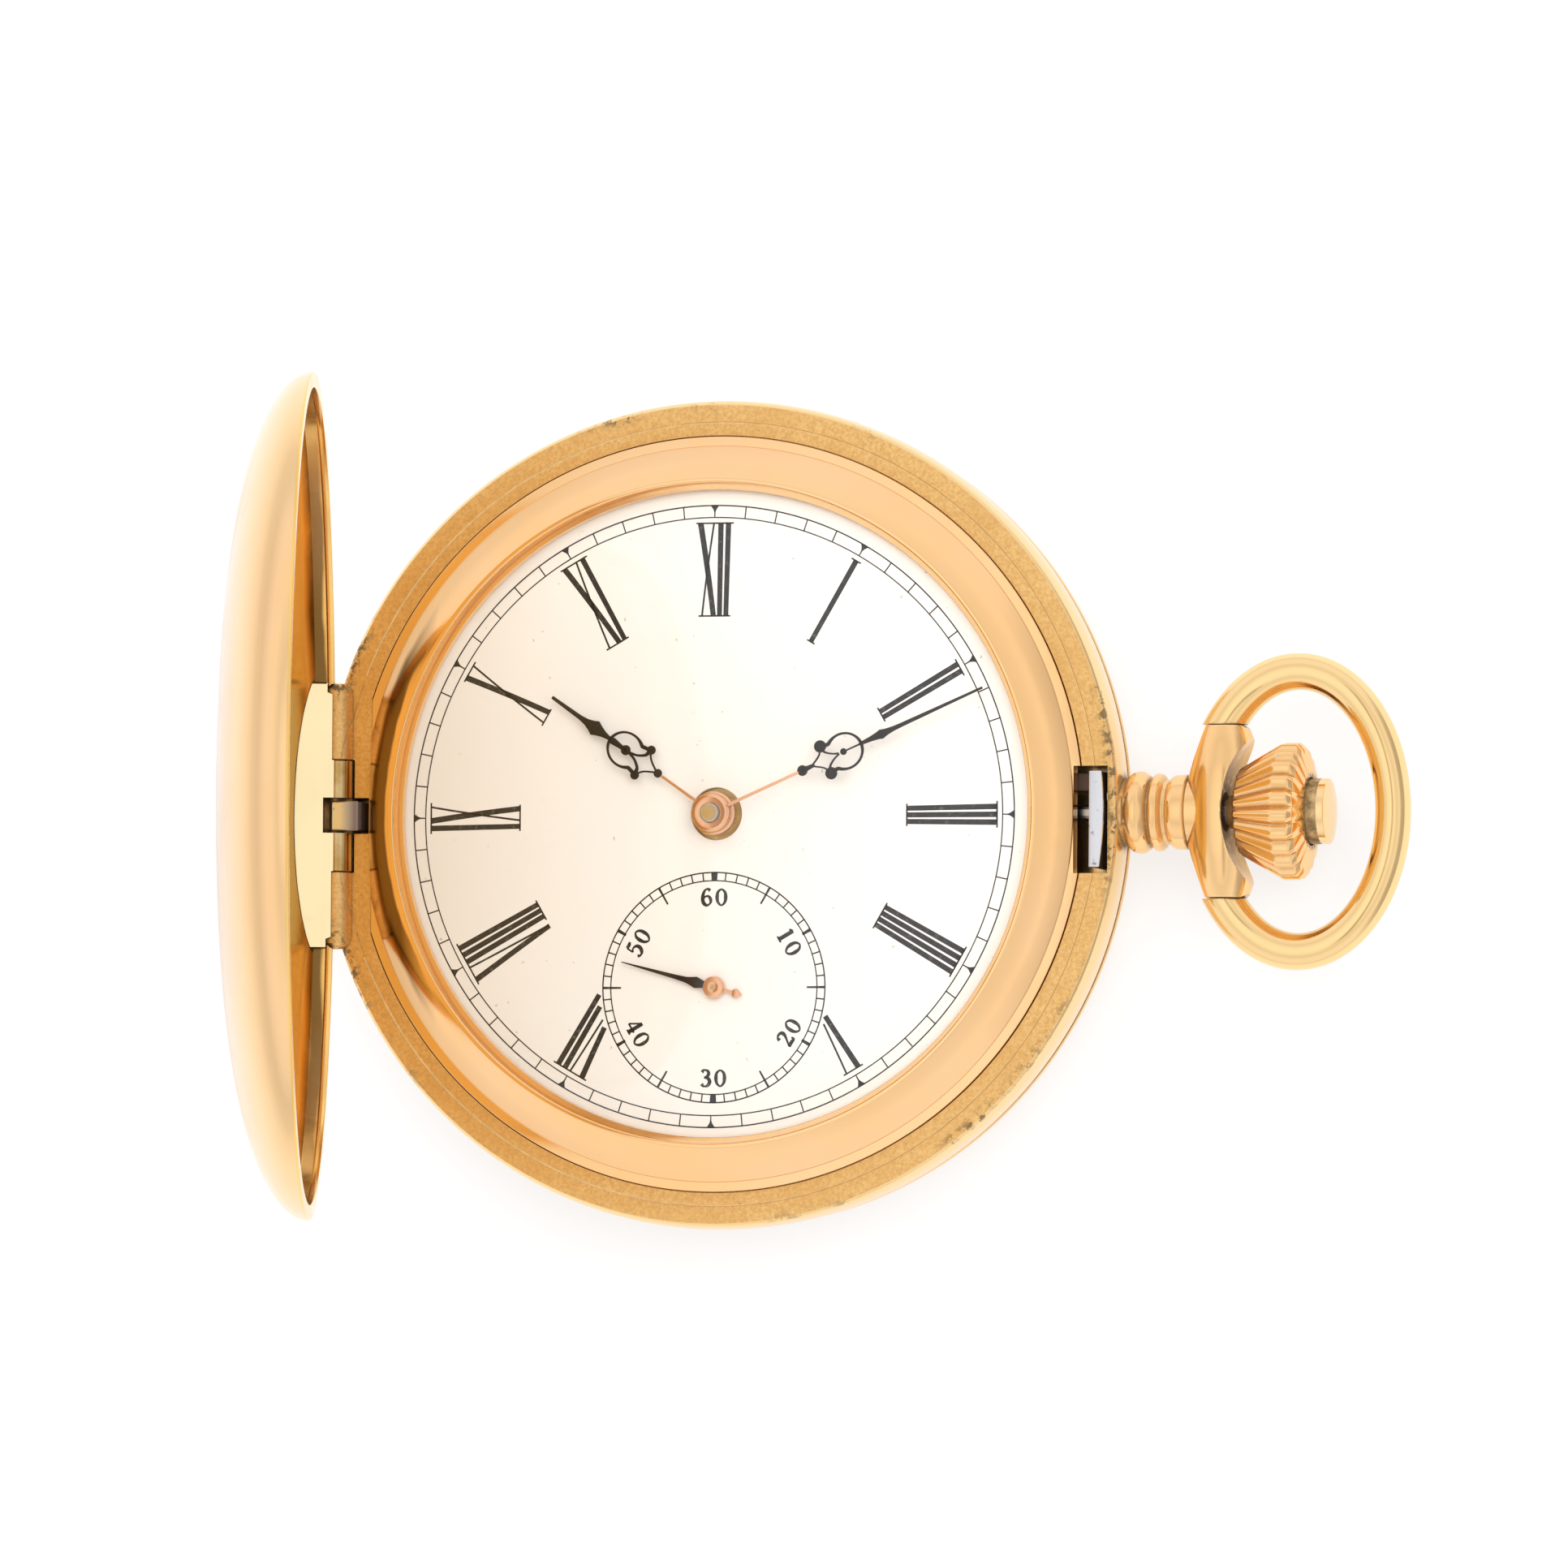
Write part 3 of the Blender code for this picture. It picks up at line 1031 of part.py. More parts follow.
def make_pallet_fork():
    """Lever between the escape wheel and the balance: two stones on one side, a fork on the other."""
    to_balance = direction(PALLET_AT, BALANCE_AT)
    along, across = math.cos(to_balance), math.sin(to_balance)

    def at(forward, left):
        return (PALLET_AT[0] + forward * along - left * across, PALLET_AT[1] + forward * across + left * along)

    arm = 2.1
    lever = [at(-0.35, 0.3), at(-0.35, -0.3), at(2.3, -0.14), at(2.42, -0.42), at(2.78, -0.3), at(2.66, -0.12)]
    lever += [at(2.5, -0.11), at(2.5, 0.11), at(2.66, 0.12), at(2.78, 0.3), at(2.42, 0.42), at(2.3, 0.14)]
    fork = flat("pallet_fork", [lever], 4.52, 4.72)
    beams = [at(0.3, 0.0), at(0.1, arm), at(-0.25, arm + 0.25), at(-0.55, arm), at(-0.25, 0.0)]
    mirror = [at(0.3, 0.0), at(-0.25, 0.0), at(-0.55, -arm), at(-0.25, -arm - 0.25), at(0.1, -arm)]
    fork = fuse(fork, flat("left", [beams], 4.5, 4.74), flat("right", [mirror], 4.48, 4.73))
    staff = arbor("staff", [(PIVOT_R, 5.6, 6.2), (0.24, 4.38, 5.6), (PIVOT_R, 4.15, 4.38)], PALLET_AT)
    return finish(fuse(fork, staff), STEEL, (*PALLET_AT, 4.6))


BALANCE_R = 5.5


def make_balance():
    outline = ring_points(BALANCE_R, 28)
    windows = spoke_windows(0.8, BALANCE_R - 0.6, 2, 0.6, phase=direction(BALANCE_AT, PALLET_AT) + math.pi / 2)
    wheel = flat("balance_wheel", [outline, *windows], 3.5, 3.92, at=BALANCE_AT)
    sections = [(0.13, 5.5, 6.2), (0.3, 4.3, 5.5), (0.4, 3.4, 4.3), (0.3, 3.0, 3.4), (0.13, 2.5, 3.0)]
    wheel = fuse(wheel, arbor("staff", sections, BALANCE_AT))
    return finish(wheel, BRASS, (*BALANCE_AT, 3.7))


def make_roller():
    """Roller table with the impulse pin that stands in the fork's slot."""
    aim = direction(BALANCE_AT, PALLET_AT)
    table = tube("roller_table", 0.45, 1.0, 4.04, 4.26, at=BALANCE_AT, segments=20)
    pin = cylinder("pin", 0.07, 4.1, 4.8, at=polar(0.72, aim, BALANCE_AT), segments=8)
    return finish(fuse(table, pin), STEEL, (*BALANCE_AT, 4.1))


def make_hairspring():
    spring = spiral("hairspring", 0.6, 2.9, 6, 0.07, 3.08, 3.3, BALANCE_AT, 9)
    stud = cylinder("stud", 0.3, 2.85, 3.3, at=polar(3.05, 0, BALANCE_AT), segments=10)
    return finish(fuse(spring, stud), BLUED)


# ---------------------------------------------------------------- motion work and setting work
def make_motion_work():
    to_minute = direction((0, 0), MINUTE_AT)
    cannon = flat(
        "cannon_pinion", [pinion_outline(CANNON_LEAVES, CANNON_MODULE, 0), ring_points(0.62, 16)], 6.72, 7.1
    )
    pipe = tube("pipe", 0.62, 0.92, 6.75, 9.45, segments=20)
    finish(fuse(cannon, pipe), STEEL, (0, 0, 7))
    minute_phase = meshing_phase(CANNON_LEAVES, 0, to_minute, MINUTE_TEETH)
    wheel = flat(
        "minute_wheel", [wheel_outline(MINUTE_TEETH, CANNON_MODULE, minute_phase), ring_points(0.62, 12)],
        6.74, 6.98, at=MINUTE_AT,
    )
    leaf_outline = pinion_outline(MINUTE_LEAVES, HOUR_MODULE, 0)
    leaves = flat("leaves", [leaf_outline, ring_points(0.62, 12)], 6.9, 7.42, at=MINUTE_AT)
    finish(fuse(wheel, leaves), BRASS, (*MINUTE_AT, 7))
    hour_phase = meshing_phase(MINUTE_LEAVES, 0, math.pi, HOUR_TEETH)
    hour = flat(
        "hour_wheel", [wheel_outline(HOUR_TEETH, HOUR_MODULE, hour_phase), ring_points(0.98, 20)], 7.16, 7.38
    )
    finish(fuse(hour, tube("pipe", 0.98, 1.2, 7.2, 8.95, segments=20)), BRASS, (0, 0, 7.3))
    setting_phase = meshing_phase(MINUTE_TEETH, minute_phase, 0, SETTING_TEETH)
    setting = flat(
        "setting_wheel", [wheel_outline(SETTING_TEETH, CANNON_MODULE, setting_phase), ring_points(0.67, 12)],
        6.74, 7.05, at=SETTING_AT,
    )
    finish(setting, STEEL, (*SETTING_AT, 7))


SETTING_LEVER_AT = (18.0, 3.4)


def make_setting_lever():
    """Lever whose pin rides in the stem's groove."""
    outline = ring_points(0.8, 9, at=SETTING_LEVER_AT, start=math.radians(-20), sweep=math.radians(240))
    outline += [(17.4, 0.6), (18.4, -0.3), (19.5, -0.3), (19.5, 0.35), (18.9, 0.8)]
    lever = flat("setting_lever", [outline, ring_points(0.34, 10, at=SETTING_LEVER_AT)], 6.78, 7.05)
    pin = cylinder("pin", 0.13, 6.25, 6.9, at=(19.25, 0.0), segments=8)
    return finish(fuse(lever, pin), STEEL, (*SETTING_LEVER_AT, 6.9))


def make_yoke_lever():
    """Lever whose fork sits in the groove of the sliding pinion."""
    outline = [(14.08, -0.85), (13.6, -1.7), (13.4, -4.9), (14.6, -5.6), (14.9, -4.9), (14.2, -4.3)]
    outline.append((14.62, -0.85))
    return finish(flat("yoke_lever", [outline], 5.9, 6.3), STEEL)


# ---------------------------------------------------------------- hands
def hand_angle(clockwise_degrees):
    """Angle from +X of a hand that stands this many degrees clockwise from 12."""
    return math.radians(90 - clockwise_degrees)


def hand(name, length, ring_at, ring_r, widths, hub, low, high, hub_low, hub_high, clockwise, at=(0, 0)):
    """An open-work hand: stem, pierced ring, spade and tip, on a hub. It is made pointing along +X."""
    hub_outer, hub_inner = hub
    stem, spade = widths
    start = hub_outer * 0.9
    outline = [(start, -stem), (ring_at - ring_r - 0.75, -stem), (ring_at - ring_r, -0.5)]
    outline += ring_points(ring_r + 0.15, 9, at=(ring_at, 0), start=-2.6, sweep=5.2)[0:4]
    far = ring_at + ring_r
    outline += [(far + 1.2, -0.14), (far + 1.75, -spade), (far + 2.1, -0.16), (length, -0.035)]
    outline += [(x, -y) for x, y in reversed(outline)]
    blade = flat(name, [outline, ring_points(ring_r - 0.13, 14, at=(ring_at, 0))], low, high)
    boss = tube("boss", hub_inner, hub_outer, hub_low, hub_high, segments=20)
    piece = fuse(blade, boss)
    if low < hub_high:
        piece = cut(piece, cylinder("hub_room", hub_inner, hub_low - 1, hub_high + 1, segments=20))
    turn = Matrix.Translation(Vector((*at, 0)) * MM) @ Matrix.Rotation(hand_angle(clockwise), 4, "Z")
    piece.data.transform(turn)
    return finish(piece, BLUED, (*at, low))


def make_hands():
    hand("hour_hand", 12.3, 6.35, 1.12, (0.09, 0.5), (1.34, 1.22), 8.76, 8.88, 8.5, 8.97, HOUR_ANGLE)
    hand("minute_hand", 18.4, 8.45, 1.12, (0.09, 0.36), (1.16, 0.94), 9.2, 9.32, 9.03, 9.55, MINUTE_ANGLE)
    outline = [(-1.55, -0.06), (-1.85, -0.28), (-1.35, -0.16), (0.5, -0.13), (1.2, -0.34), (2.6, -0.1)]
    outline.append((5.95, -0.025))
    outline += [(x, -y) for x, y in reversed(outline)]
    blade = flat("seconds_hand", [outline], 8.36, 8.46)
    boss = tube("boss", 0.26, 0.68, 8.16, 8.6, segments=16)
    piece = cut(fuse(blade, boss), cylinder("hub_room", 0.26, 8, 9, segments=16))
    turn = Matrix.Rotation(hand_angle(SECONDS_ANGLE), 4, "Z")
    piece.data.transform(Matrix.Translation(Vector((*FOURTH_AT, 0)) * MM) @ turn)
    return finish(piece, BLUED, (*FOURTH_AT, 8.3))


HOUR_ANGLE, MINUTE_ANGLE, SECONDS_ANGLE = 305.4, 66.1, 284.5


# ---------------------------------------------------------------- assembly
def build():
    make_case_middle()
    make_bezel()
    make_crystal()
    make_dial()
    make_pendant()
    make_bow_yoke()
    make_hinge_pin("front_hinge_pin", PIN_R, HINGE_HALF - 0.02, HINGE_X, SEAT_Z)
    make_hinge_pin("back_hinge_pin", BACK_PIN_R, 5.2, BACK_HINGE_X, BACK_HINGE_Z)
    make_hinge_pin("dust_hinge_pin", DUST_PIN_R, 3.2, DUST_HINGE_X, DUST_HINGE_Z)
    make_front_cover()
    make_cover_joint()
    make_back_cover()
    make_dust_cover()
    make_lift_spring()
    make_lock_spring()
    make_crown()
    make_push_button()
    make_winding_stem()
    winding_gear("winding_pinion", 15.45, 17.0, 1.55, 12, 0.56)
    winding_gear("sliding_pinion", 13.42, 15.4, 1.2, 10, 0.56, groove=(14.0, 14.7, 0.8))
    make_bow()
    make_mainplate()
    make_barrel_bridge()
    make_train_bridge()
    make_pallet_bridge()
    make_balance_cock()
    make_barrel()
    make_barrel_cover()
    make_mainspring()
    make_barrel_arbor()
    make_ratchet_wheel()
    make_crown_wheel()
    make_click()
    make_click_spring()
    make_train()
    make_pallet_fork()
    make_balance()
    make_roller()
    make_hairspring()
    make_motion_work()
    make_setting_lever()
    make_yoke_lever()
    make_hands()
    make_screws()


build()
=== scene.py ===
"""Looks of the hunter-case pocket watch: fine meshes, procedural finishes, floor, light and camera.

Helpers take millimetres in the row frame: +X from the dial's centre to the pendant, +Y to the 12, +Z out
of the dial. Every visible piece rides the body of the CAD piece that it refines.
"""

import json
import math

import bmesh
import bpy
import numpy as np
from mathutils import Matrix, Vector


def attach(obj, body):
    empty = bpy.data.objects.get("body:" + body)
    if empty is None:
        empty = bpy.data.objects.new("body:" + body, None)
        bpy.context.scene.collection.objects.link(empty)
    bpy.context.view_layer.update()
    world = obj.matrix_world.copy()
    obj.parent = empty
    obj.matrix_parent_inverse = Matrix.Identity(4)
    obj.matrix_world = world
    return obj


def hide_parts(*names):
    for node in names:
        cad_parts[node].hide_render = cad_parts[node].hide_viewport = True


MM = 0.001
TAU = 2 * math.pi
FINE = 224  # segments of a case-sized turned piece

SEAT_Z, STEM_Z = 8.0, 5.9
HINGE_X, HINGE_R, HINGE_HALF, MID_HALF, PIN_R, RUN = -24.2, 1.1, 8.1, 3.4, 0.35, 0.05
COVER_OPEN = math.radians(76.15)
SLOT_LOW, SLOT_HIGH = -3.75, 2.75
BOW_X = 31.4
SECONDS_AT = (0.0, -10.57)
BACK_AXIS, DUST_AXIS = (-24.75, 4.25), (-23.15, 4.40)

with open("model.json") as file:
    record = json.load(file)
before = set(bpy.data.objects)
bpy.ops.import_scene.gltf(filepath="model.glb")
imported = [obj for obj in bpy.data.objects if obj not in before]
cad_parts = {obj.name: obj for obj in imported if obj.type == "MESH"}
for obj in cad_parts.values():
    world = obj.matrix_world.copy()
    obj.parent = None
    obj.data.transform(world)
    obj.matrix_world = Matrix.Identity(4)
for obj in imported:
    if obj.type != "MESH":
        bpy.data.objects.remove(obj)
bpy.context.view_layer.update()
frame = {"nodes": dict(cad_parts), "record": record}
scene = bpy.context.scene


# ---------------------------------------------------------------- mesh helpers
def link(name, mesh, smooth=32):
    obj = bpy.data.objects.new(name, mesh)
    scene.collection.objects.link(obj)
    mesh.shade_smooth()
    mesh.set_sharp_from_angle(angle=math.radians(smooth))
    return obj


def from_points(name, points, faces, smooth=32, recalc=True):
    mesh = bpy.data.meshes.new(name)
    mesh.from_pydata([tuple(c * MM for c in p) for p in points], [], faces)
    if recalc:
        work = bmesh.new()
        work.from_mesh(mesh)
        bmesh.ops.recalc_face_normals(work, faces=work.faces)
        work.to_mesh(mesh)
        work.free()
    return link(name, mesh, smooth)


def rounded(profile, fillet=0.08, steps=4, closed=False):
    """A profile with each corner replaced by a small curve; a third value sets one corner's own size."""
    points = [(p[0], p[1]) for p in profile]
    sizes = [p[2] if len(p) > 2 else fillet for p in profile]
    out, count = [], len(points)
    for i, (here, size) in enumerate(zip(points, sizes)):
        if not closed and i in (0, count - 1) or size == 0:
            out.append(here)
            continue
        before, after = np.array(points[i - 1]), np.array(points[(i + 1) % count])
        middle = np.array(here)
        a = before - middle
        b = after - middle
        start = middle + a * min(0.45, size / max(np.linalg.norm(a), 1e-9))
        end = middle + b * min(0.45, size / max(np.linalg.norm(b), 1e-9))
        for t in np.linspace(0, 1, steps + 1):
            out.append(tuple((1 - t) ** 2 * start + 2 * t * (1 - t) * middle + t * t * end))
    return out


def smooth_line(points, per_span=8):
    """A Catmull-Rom curve through points of any dimension."""
    p = [np.array(q, float) for q in points]
    p = [2 * p[0] - p[1]] + p + [2 * p[-1] - p[-2]]
    out = []
    for a, b, c, d in zip(p, p[1:], p[2:], p[3:]):
        for t in np.linspace(0, 1, per_span, endpoint=False):
            out.append(0.5 * (2 * b + (c - a) * t + (2 * a - 5 * b + 4 * c - d) * t**2
                              + (3 * b - 3 * c + d - a) * t**3))
    out.append(p[-2])
    return out


def lathe(name, profile, segments=FINE, closed=False, at=(0, 0, 0), along="Z", warp=None, smooth=32):
    """A turned piece. warp(radius, height, angle) may change a point's radius."""
    points, rings = [], []
    for radius, height in profile:
        if radius < 1e-6:
            rings.append([len(points)])
            points.append((0, 0, height))
            continue
        ring = []
        for i in range(segments):
            angle = TAU * i / segments
            r = warp(radius, height, angle) if warp else radius
            ring.append(len(points))
            points.append((r * math.cos(angle), r * math.sin(angle), height))
        rings.append(ring)
    faces = []
    pairs = list(zip(rings, rings[1:])) + ([(rings[-1], rings[0])] if closed else [])
    for near, far in pairs:
        for i in range(segments):
            j = (i + 1) % segments
            if len(near) == 1 and len(far) > 1:
                faces.append((near[0], far[j], far[i]))
            elif len(far) == 1 and len(near) > 1:
                faces.append((near[i], near[j], far[0]))
            elif len(near) > 1:
                faces.append((near[i], near[j], far[j], far[i]))
    turn = {"Z": lambda x, y, z: (x, y, z), "X": lambda x, y, z: (z, x, y),
            "Y": lambda x, y, z: (y, z, x)}
    moved = [tuple(c + o for c, o in zip(turn[along](*p), at)) for p in points]
    return from_points(name, moved, faces, smooth)


def turned_ring(name, profile, fillet=0.08, segments=FINE, at=(0, 0, 0)):
    """A turned ring whose section is a closed profile with rounded corners."""
    return lathe(name, rounded(profile, fillet, closed=True), segments, True, at=at)


def bar(name, radius, start, end, along, at, segments=48, chamfer=0.0):
    """A round bar between two positions along an axis, its ends chamfered if asked."""
    profile = [(0, end), (radius - chamfer, end), (radius, end - chamfer)]
    profile += [(radius, start + chamfer), (radius - chamfer, start), (0, start)]
    if not chamfer:
        profile = [(0, end), (radius, end), (radius, start), (0, start)]
    where = (0, *at) if along == "X" else (at[0], 0, at[1])
    return lathe(name, profile, segments, at=where, along=along)


def swept(name, sections, smooth=32):
    """A closed solid through a row of sections that have the same number of points."""
    count = len(sections[0])
    points = [point for section in sections for point in section]
    faces = []
    for i in range(0, len(points) - count, count):
        for k in range(count):
            j = (k + 1) % count
            faces.append((i + k, i + j, i + count + j, i + count + k))
    faces += [tuple(range(count)), tuple(range(len(points) - 1, len(points) - 1 - count, -1))]
    return from_points(name, points, faces, smooth)


def block(name, low, high, bevel=0.0):
    points = [(x, y, z) for x in (low[0], high[0]) for y in (low[1], high[1]) for z in (low[2], high[2])]
    faces = [(0, 1, 3, 2), (4, 6, 7, 5), (0, 4, 5, 1), (2, 3, 7, 6), (0, 2, 6, 4), (1, 5, 7, 3)]
    obj = from_points(name, points, faces)
    return bevelled(obj, bevel, 4) if bevel else obj


def bevelled(obj, width, segments=3, angle=30, smooth=32):
    modifier = obj.modifiers.new("bevel", "BEVEL")
    modifier.width = width * MM
    modifier.segments = segments
    modifier.limit_method = "ANGLE"
    modifier.angle_limit = math.radians(angle)
    return settled(obj, smooth)


def settled(obj, smooth=32):
    """Applies the modifiers of an object."""
    bpy.context.view_layer.update()
    graph = bpy.context.evaluated_depsgraph_get()
    mesh = bpy.data.meshes.new_from_object(obj.evaluated_get(graph), depsgraph=graph)
    mesh.transform(obj.matrix_world)
    name = obj.name
    bpy.data.objects.remove(obj, do_unlink=True)
    return link(name, mesh, smooth)


def carve(target, tool, operation="DIFFERENCE"):
    modifier = target.modifiers.new("carve", "BOOLEAN")
    modifier.operation = operation
    modifier.object = tool
    modifier.solver = "EXACT"
    target = settled(target)
    bpy.data.objects.remove(tool, do_unlink=True)
    return target


def joined(name, pieces, smooth=32):
    """One object from several, without a Boolean."""
    work = bmesh.new()
    for piece in pieces:
        mesh = piece.data.copy()
        mesh.transform(piece.matrix_world)
        work.from_mesh(mesh)
        bpy.data.objects.remove(piece, do_unlink=True)
    mesh = bpy.data.meshes.new(name)
    work.to_mesh(mesh)
    work.free()
    return link(name, mesh, smooth)


def opened(obj):
    pivot = Vector((HINGE_X, 0, SEAT_Z)) * MM
    turn = Matrix.Rotation(-COVER_OPEN, 4, "Y")
    obj.data.transform(Matrix.Translation(pivot) @ turn @ Matrix.Translation(-pivot))
    return obj


def dress(obj, body, look, slot, *nodes):
    """Gives a piece its finish and its body, and hides the CAD nodes that it stands for; slot is not used."""
    obj.data.materials.clear()
    obj.data.materials.append(look)
    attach(obj, body)
    if nodes:
        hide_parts(*nodes)
    return obj


# ---------------------------------------------------------------- finishes
class Nodes:
    """Adds nodes to a tree and links them. A value is a number, a colour or another node's output."""

    def __init__(self, tree, place, ramp="LINEAR"):
        self.tree, self.ramp = tree, ramp
        self.place = self.add("ShaderNodeTexCoord").outputs[place]

    def add(self, kind, **settings):
        node = self.tree.nodes.new(kind)
        for key, value in settings.items():
            setattr(node, key, value)
        return node

    def plug(self, socket, value):
        if isinstance(value, bpy.types.NodeSocket):
            self.tree.links.new(value, socket)
        elif isinstance(value, tuple) and len(value) == 3 and len(socket.default_value) == 4:
            socket.default_value = (*value, 1.0)
        else:
            socket.default_value = value

    def spread(self, value, low, high, out_low=0.0, out_high=1.0):
        node = self.add("ShaderNodeMapRange", interpolation_type=self.ramp)
        for i, v in enumerate((value, low, high, out_low, out_high)):
            self.plug(node.inputs[i], v)
        return node.outputs[0]

    def band(self, value, rise, fall, top=1.0, rest=0.0):
        """Grows from 0 to 1 over the range rise, then goes from top to rest over the range fall."""
        return self.times(self.spread(value, *rise), self.spread(value, *fall, top, rest))

    def math(self, operation, first, *others):
        for other in others:
            node = self.add("ShaderNodeMath", operation=operation)
            self.plug(node.inputs[0], first)
            self.plug(node.inputs[1], other)
            first = node.outputs[0]
        return first

    def plus(self, *values):
        return self.math("ADD", *values)

    def times(self, *values):
        return self.math("MULTIPLY", *values)

    def most(self, *values):
        return self.math("MAXIMUM", *values)

    def vector(self, operation, first, second=(0, 0, 0)):
        node = self.add("ShaderNodeVectorMath", operation=operation)
        self.plug(node.inputs[0], first)
        self.plug(node.inputs[1], second)
        return node.outputs["Value" if operation == "LENGTH" else "Vector"]

    def mix(self, share, a, b):
        node = self.add("ShaderNodeMix", data_type="RGBA")
        self.plug(node.inputs[0], share)
        self.plug(node.inputs[6], a)
        self.plug(node.inputs[7], b)
        return node.outputs[2]

    def axis(self, name, place=None):
        node = self.add("ShaderNodeSeparateXYZ")
        self.plug(node.inputs[0], place or self.place)
        return node.outputs[name]

    def radius(self, place=None, keep=(1, 1, 0)):
        """Distance in metres from the dial's axis, or from the axis that keep leaves out."""
        return self.vector("LENGTH", self.vector("MULTIPLY", place or self.place, keep))


class Look(Nodes):
    """A node material around one Principled shader."""

    def __init__(self, name):
        self.material = bpy.data.materials.new(name)
        self.material.use_nodes = True
        super().__init__(self.material.node_tree, "Object")
        self.shader = self.tree.nodes["Principled BSDF"]

    def noise(self, scale, detail=3.0, stretch=None, rough=0.55):
        place = self.place
        if stretch:
            mapping = self.add("ShaderNodeMapping")
            self.plug(mapping.inputs["Vector"], self.place)
            mapping.inputs["Scale"].default_value = stretch
            place = mapping.outputs["Vector"]
        node = self.add("ShaderNodeTexNoise")
        for key, value in (("Vector", place), ("Scale", scale), ("Detail", detail), ("Roughness", rough)):
            self.plug(node.inputs[key], value)
        return node.outputs["Fac"]

    def crevice(self, reach, low=0.35, high=0.8):
        """1 where the surface is shut in by its neighbours, 0 in the open. reach is in millimetres."""
        node = self.add("ShaderNodeAmbientOcclusion", samples=6)
        node.inputs["Distance"].default_value = reach * MM
        return self.spread(node.outputs["AO"], low, high, 1.0, 0.0)

    def bump(self, height, strength, depth=0.05):
        node = self.add("ShaderNodeBump")
        node.inputs["Strength"].default_value = strength
        node.inputs["Distance"].default_value = depth * MM
        self.plug(node.inputs["Height"], height)
        self.plug(self.shader.inputs["Normal"], node.outputs["Normal"])

    def set(self, **values):
        for key, value in values.items():
            self.plug(self.shader.inputs[key.replace("_", " ")], value)
        return self.material


# near-black colour of dirt and of the painted shade in hollows
SHADE_AND_GRIME = (0.035, 0.02, 0.009)


def polished(name, colour, deep, low=0.08, high=0.2, grime_and_shade=0.9, reach=0.7, wave=0.05, undarkened_within=0.0, grime_and_shade_colour=SHADE_AND_GRIME,
             patch=None):
    """Worn polished plate: soft ripples, hairline scratches, patches of dulling, and dirt with painted shade
    in the corners, none within the radius that the caller may give. patch(look, tint) paints a piece's own
    reflections and shade into the colour."""
    look = Look(name)
    patches = look.spread(look.noise(140, 4), 0.35, 0.7)
    lines = look.most(look.spread(look.noise(900, 2, (1, 0.06, 1)), 0.55, 0.75),
                      look.spread(look.noise(1300, 2, (0.05, 1, 1)), 0.6, 0.78))
    rough = look.plus(look.spread(patches, 0, 1, low, high), look.times(lines, 0.06))
    # painted shade with dirt: the colour goes towards the near-black grime colour where ambient occlusion
    # finds the surface shut in, in patches
    dirt_and_shade = look.times(look.crevice(reach), grime_and_shade, look.spread(look.noise(2600, 4), 0.25, 0.5, 0.45, 1.0))
    if undarkened_within:
        dirt_and_shade = look.times(dirt_and_shade, look.spread(look.radius(), undarkened_within, undarkened_within + 0.0002))
    tint = look.mix(look.spread(look.noise(60, 3), 0.35, 0.65), colour, deep)
    if patch:
        tint = patch(look, tint)
    look.bump(look.plus(look.noise(170, 2), look.times(look.noise(2400, 2), 0.06)), wave, 0.3)
    return look.set(
        Base_Color=look.mix(dirt_and_shade, tint, grime_and_shade_colour),
        Roughness=look.plus(rough, look.times(dirt_and_shade, 0.45)),
        Metallic=look.spread(dirt_and_shade, 0, 1, 1.0, 0.35),
    )


def cover_painted_reflections(look, tint):
    """The front cover: a painted pinkish-copper reflection over the middle of the dome, and a deeper painted
    reflection on the lining, darkest in a band along the rim.
    """
    pivot = Vector((HINGE_X, 0, SEAT_Z)) * MM
    mapping = look.add("ShaderNodeMapping")
    look.plug(mapping.inputs["Vector"], look.place)
    mapping.inputs["Rotation"].default_value = (0, COVER_OPEN, 0)
    mapping.inputs["Location"].default_value = pivot - Matrix.Rotation(COVER_OPEN, 3, "Y") @ pivot
    closed = mapping.outputs[0]
    radius = look.plus(look.radius(closed), look.spread(look.noise(120, 3), 0.3, 0.7, -0.0015, 0.0015))
    # painted reflection: pinkish copper over the middle of the dome
    pink_reflection = look.mix(look.spread(radius, 0.009, 0.022, 0.9, 0.0), tint, (0.53, 0.35, 0.255))
    # painted reflection on the lining: deeper gold, dark brown in a ragged band along the rim
    ragged = look.spread(look.noise(140, 3, (1, 0.3, 1)), 0.3, 0.7, -0.00025, 0.00025)
    dark_rim_reflection = look.band(look.plus(look.axis("Z", closed), ragged), (0.0084, 0.0086), (0.0092, 0.0097), 0.88)
    lining = look.mix(dark_rim_reflection, (0.96, 0.62, 0.20), (0.15, 0.085, 0.025))
    facing = look.axis("X", look.add("ShaderNodeTexCoord").outputs["Normal"])
    return look.mix(look.spread(facing, 0.1, 0.25), pink_reflection, lining)


def hinge_painted_reflection(look, tint):
    """A dark olive painted reflection of the open lid on the bezel beside the hinge."""
    ragged = look.spread(look.noise(160, 4, (1, 0.3, 1)), 0.3, 0.7, -0.00035, 0.00035)
    ring = look.band(look.plus(look.radius(), ragged), (0.02045, 0.0206), (0.0215, 0.0218), 0.92, 0.12)
    patch = look.times(look.spread(look.axis("X"), -0.0174, -0.0196), ring)
    return look.mix(patch, tint, (0.17, 0.085, 0.02))


def joint_painted_shade(look, tint):
    """The cover's knuckle, brown with patchy painted shade where it sits between its neighbours."""
    away = look.vector("SUBTRACT", look.place, (HINGE_X * MM, 0, SEAT_Z * MM))
    near = look.spread(look.radius(away, (1, 0, 1)), 0.00111, 0.00116, 1.0, 0.0)
    worn = look.spread(look.noise(700, 4), 0.35, 0.65, 0.65, 1.0)
    return look.mix(look.times(near, worn), tint, (0.50, 0.30, 0.09))


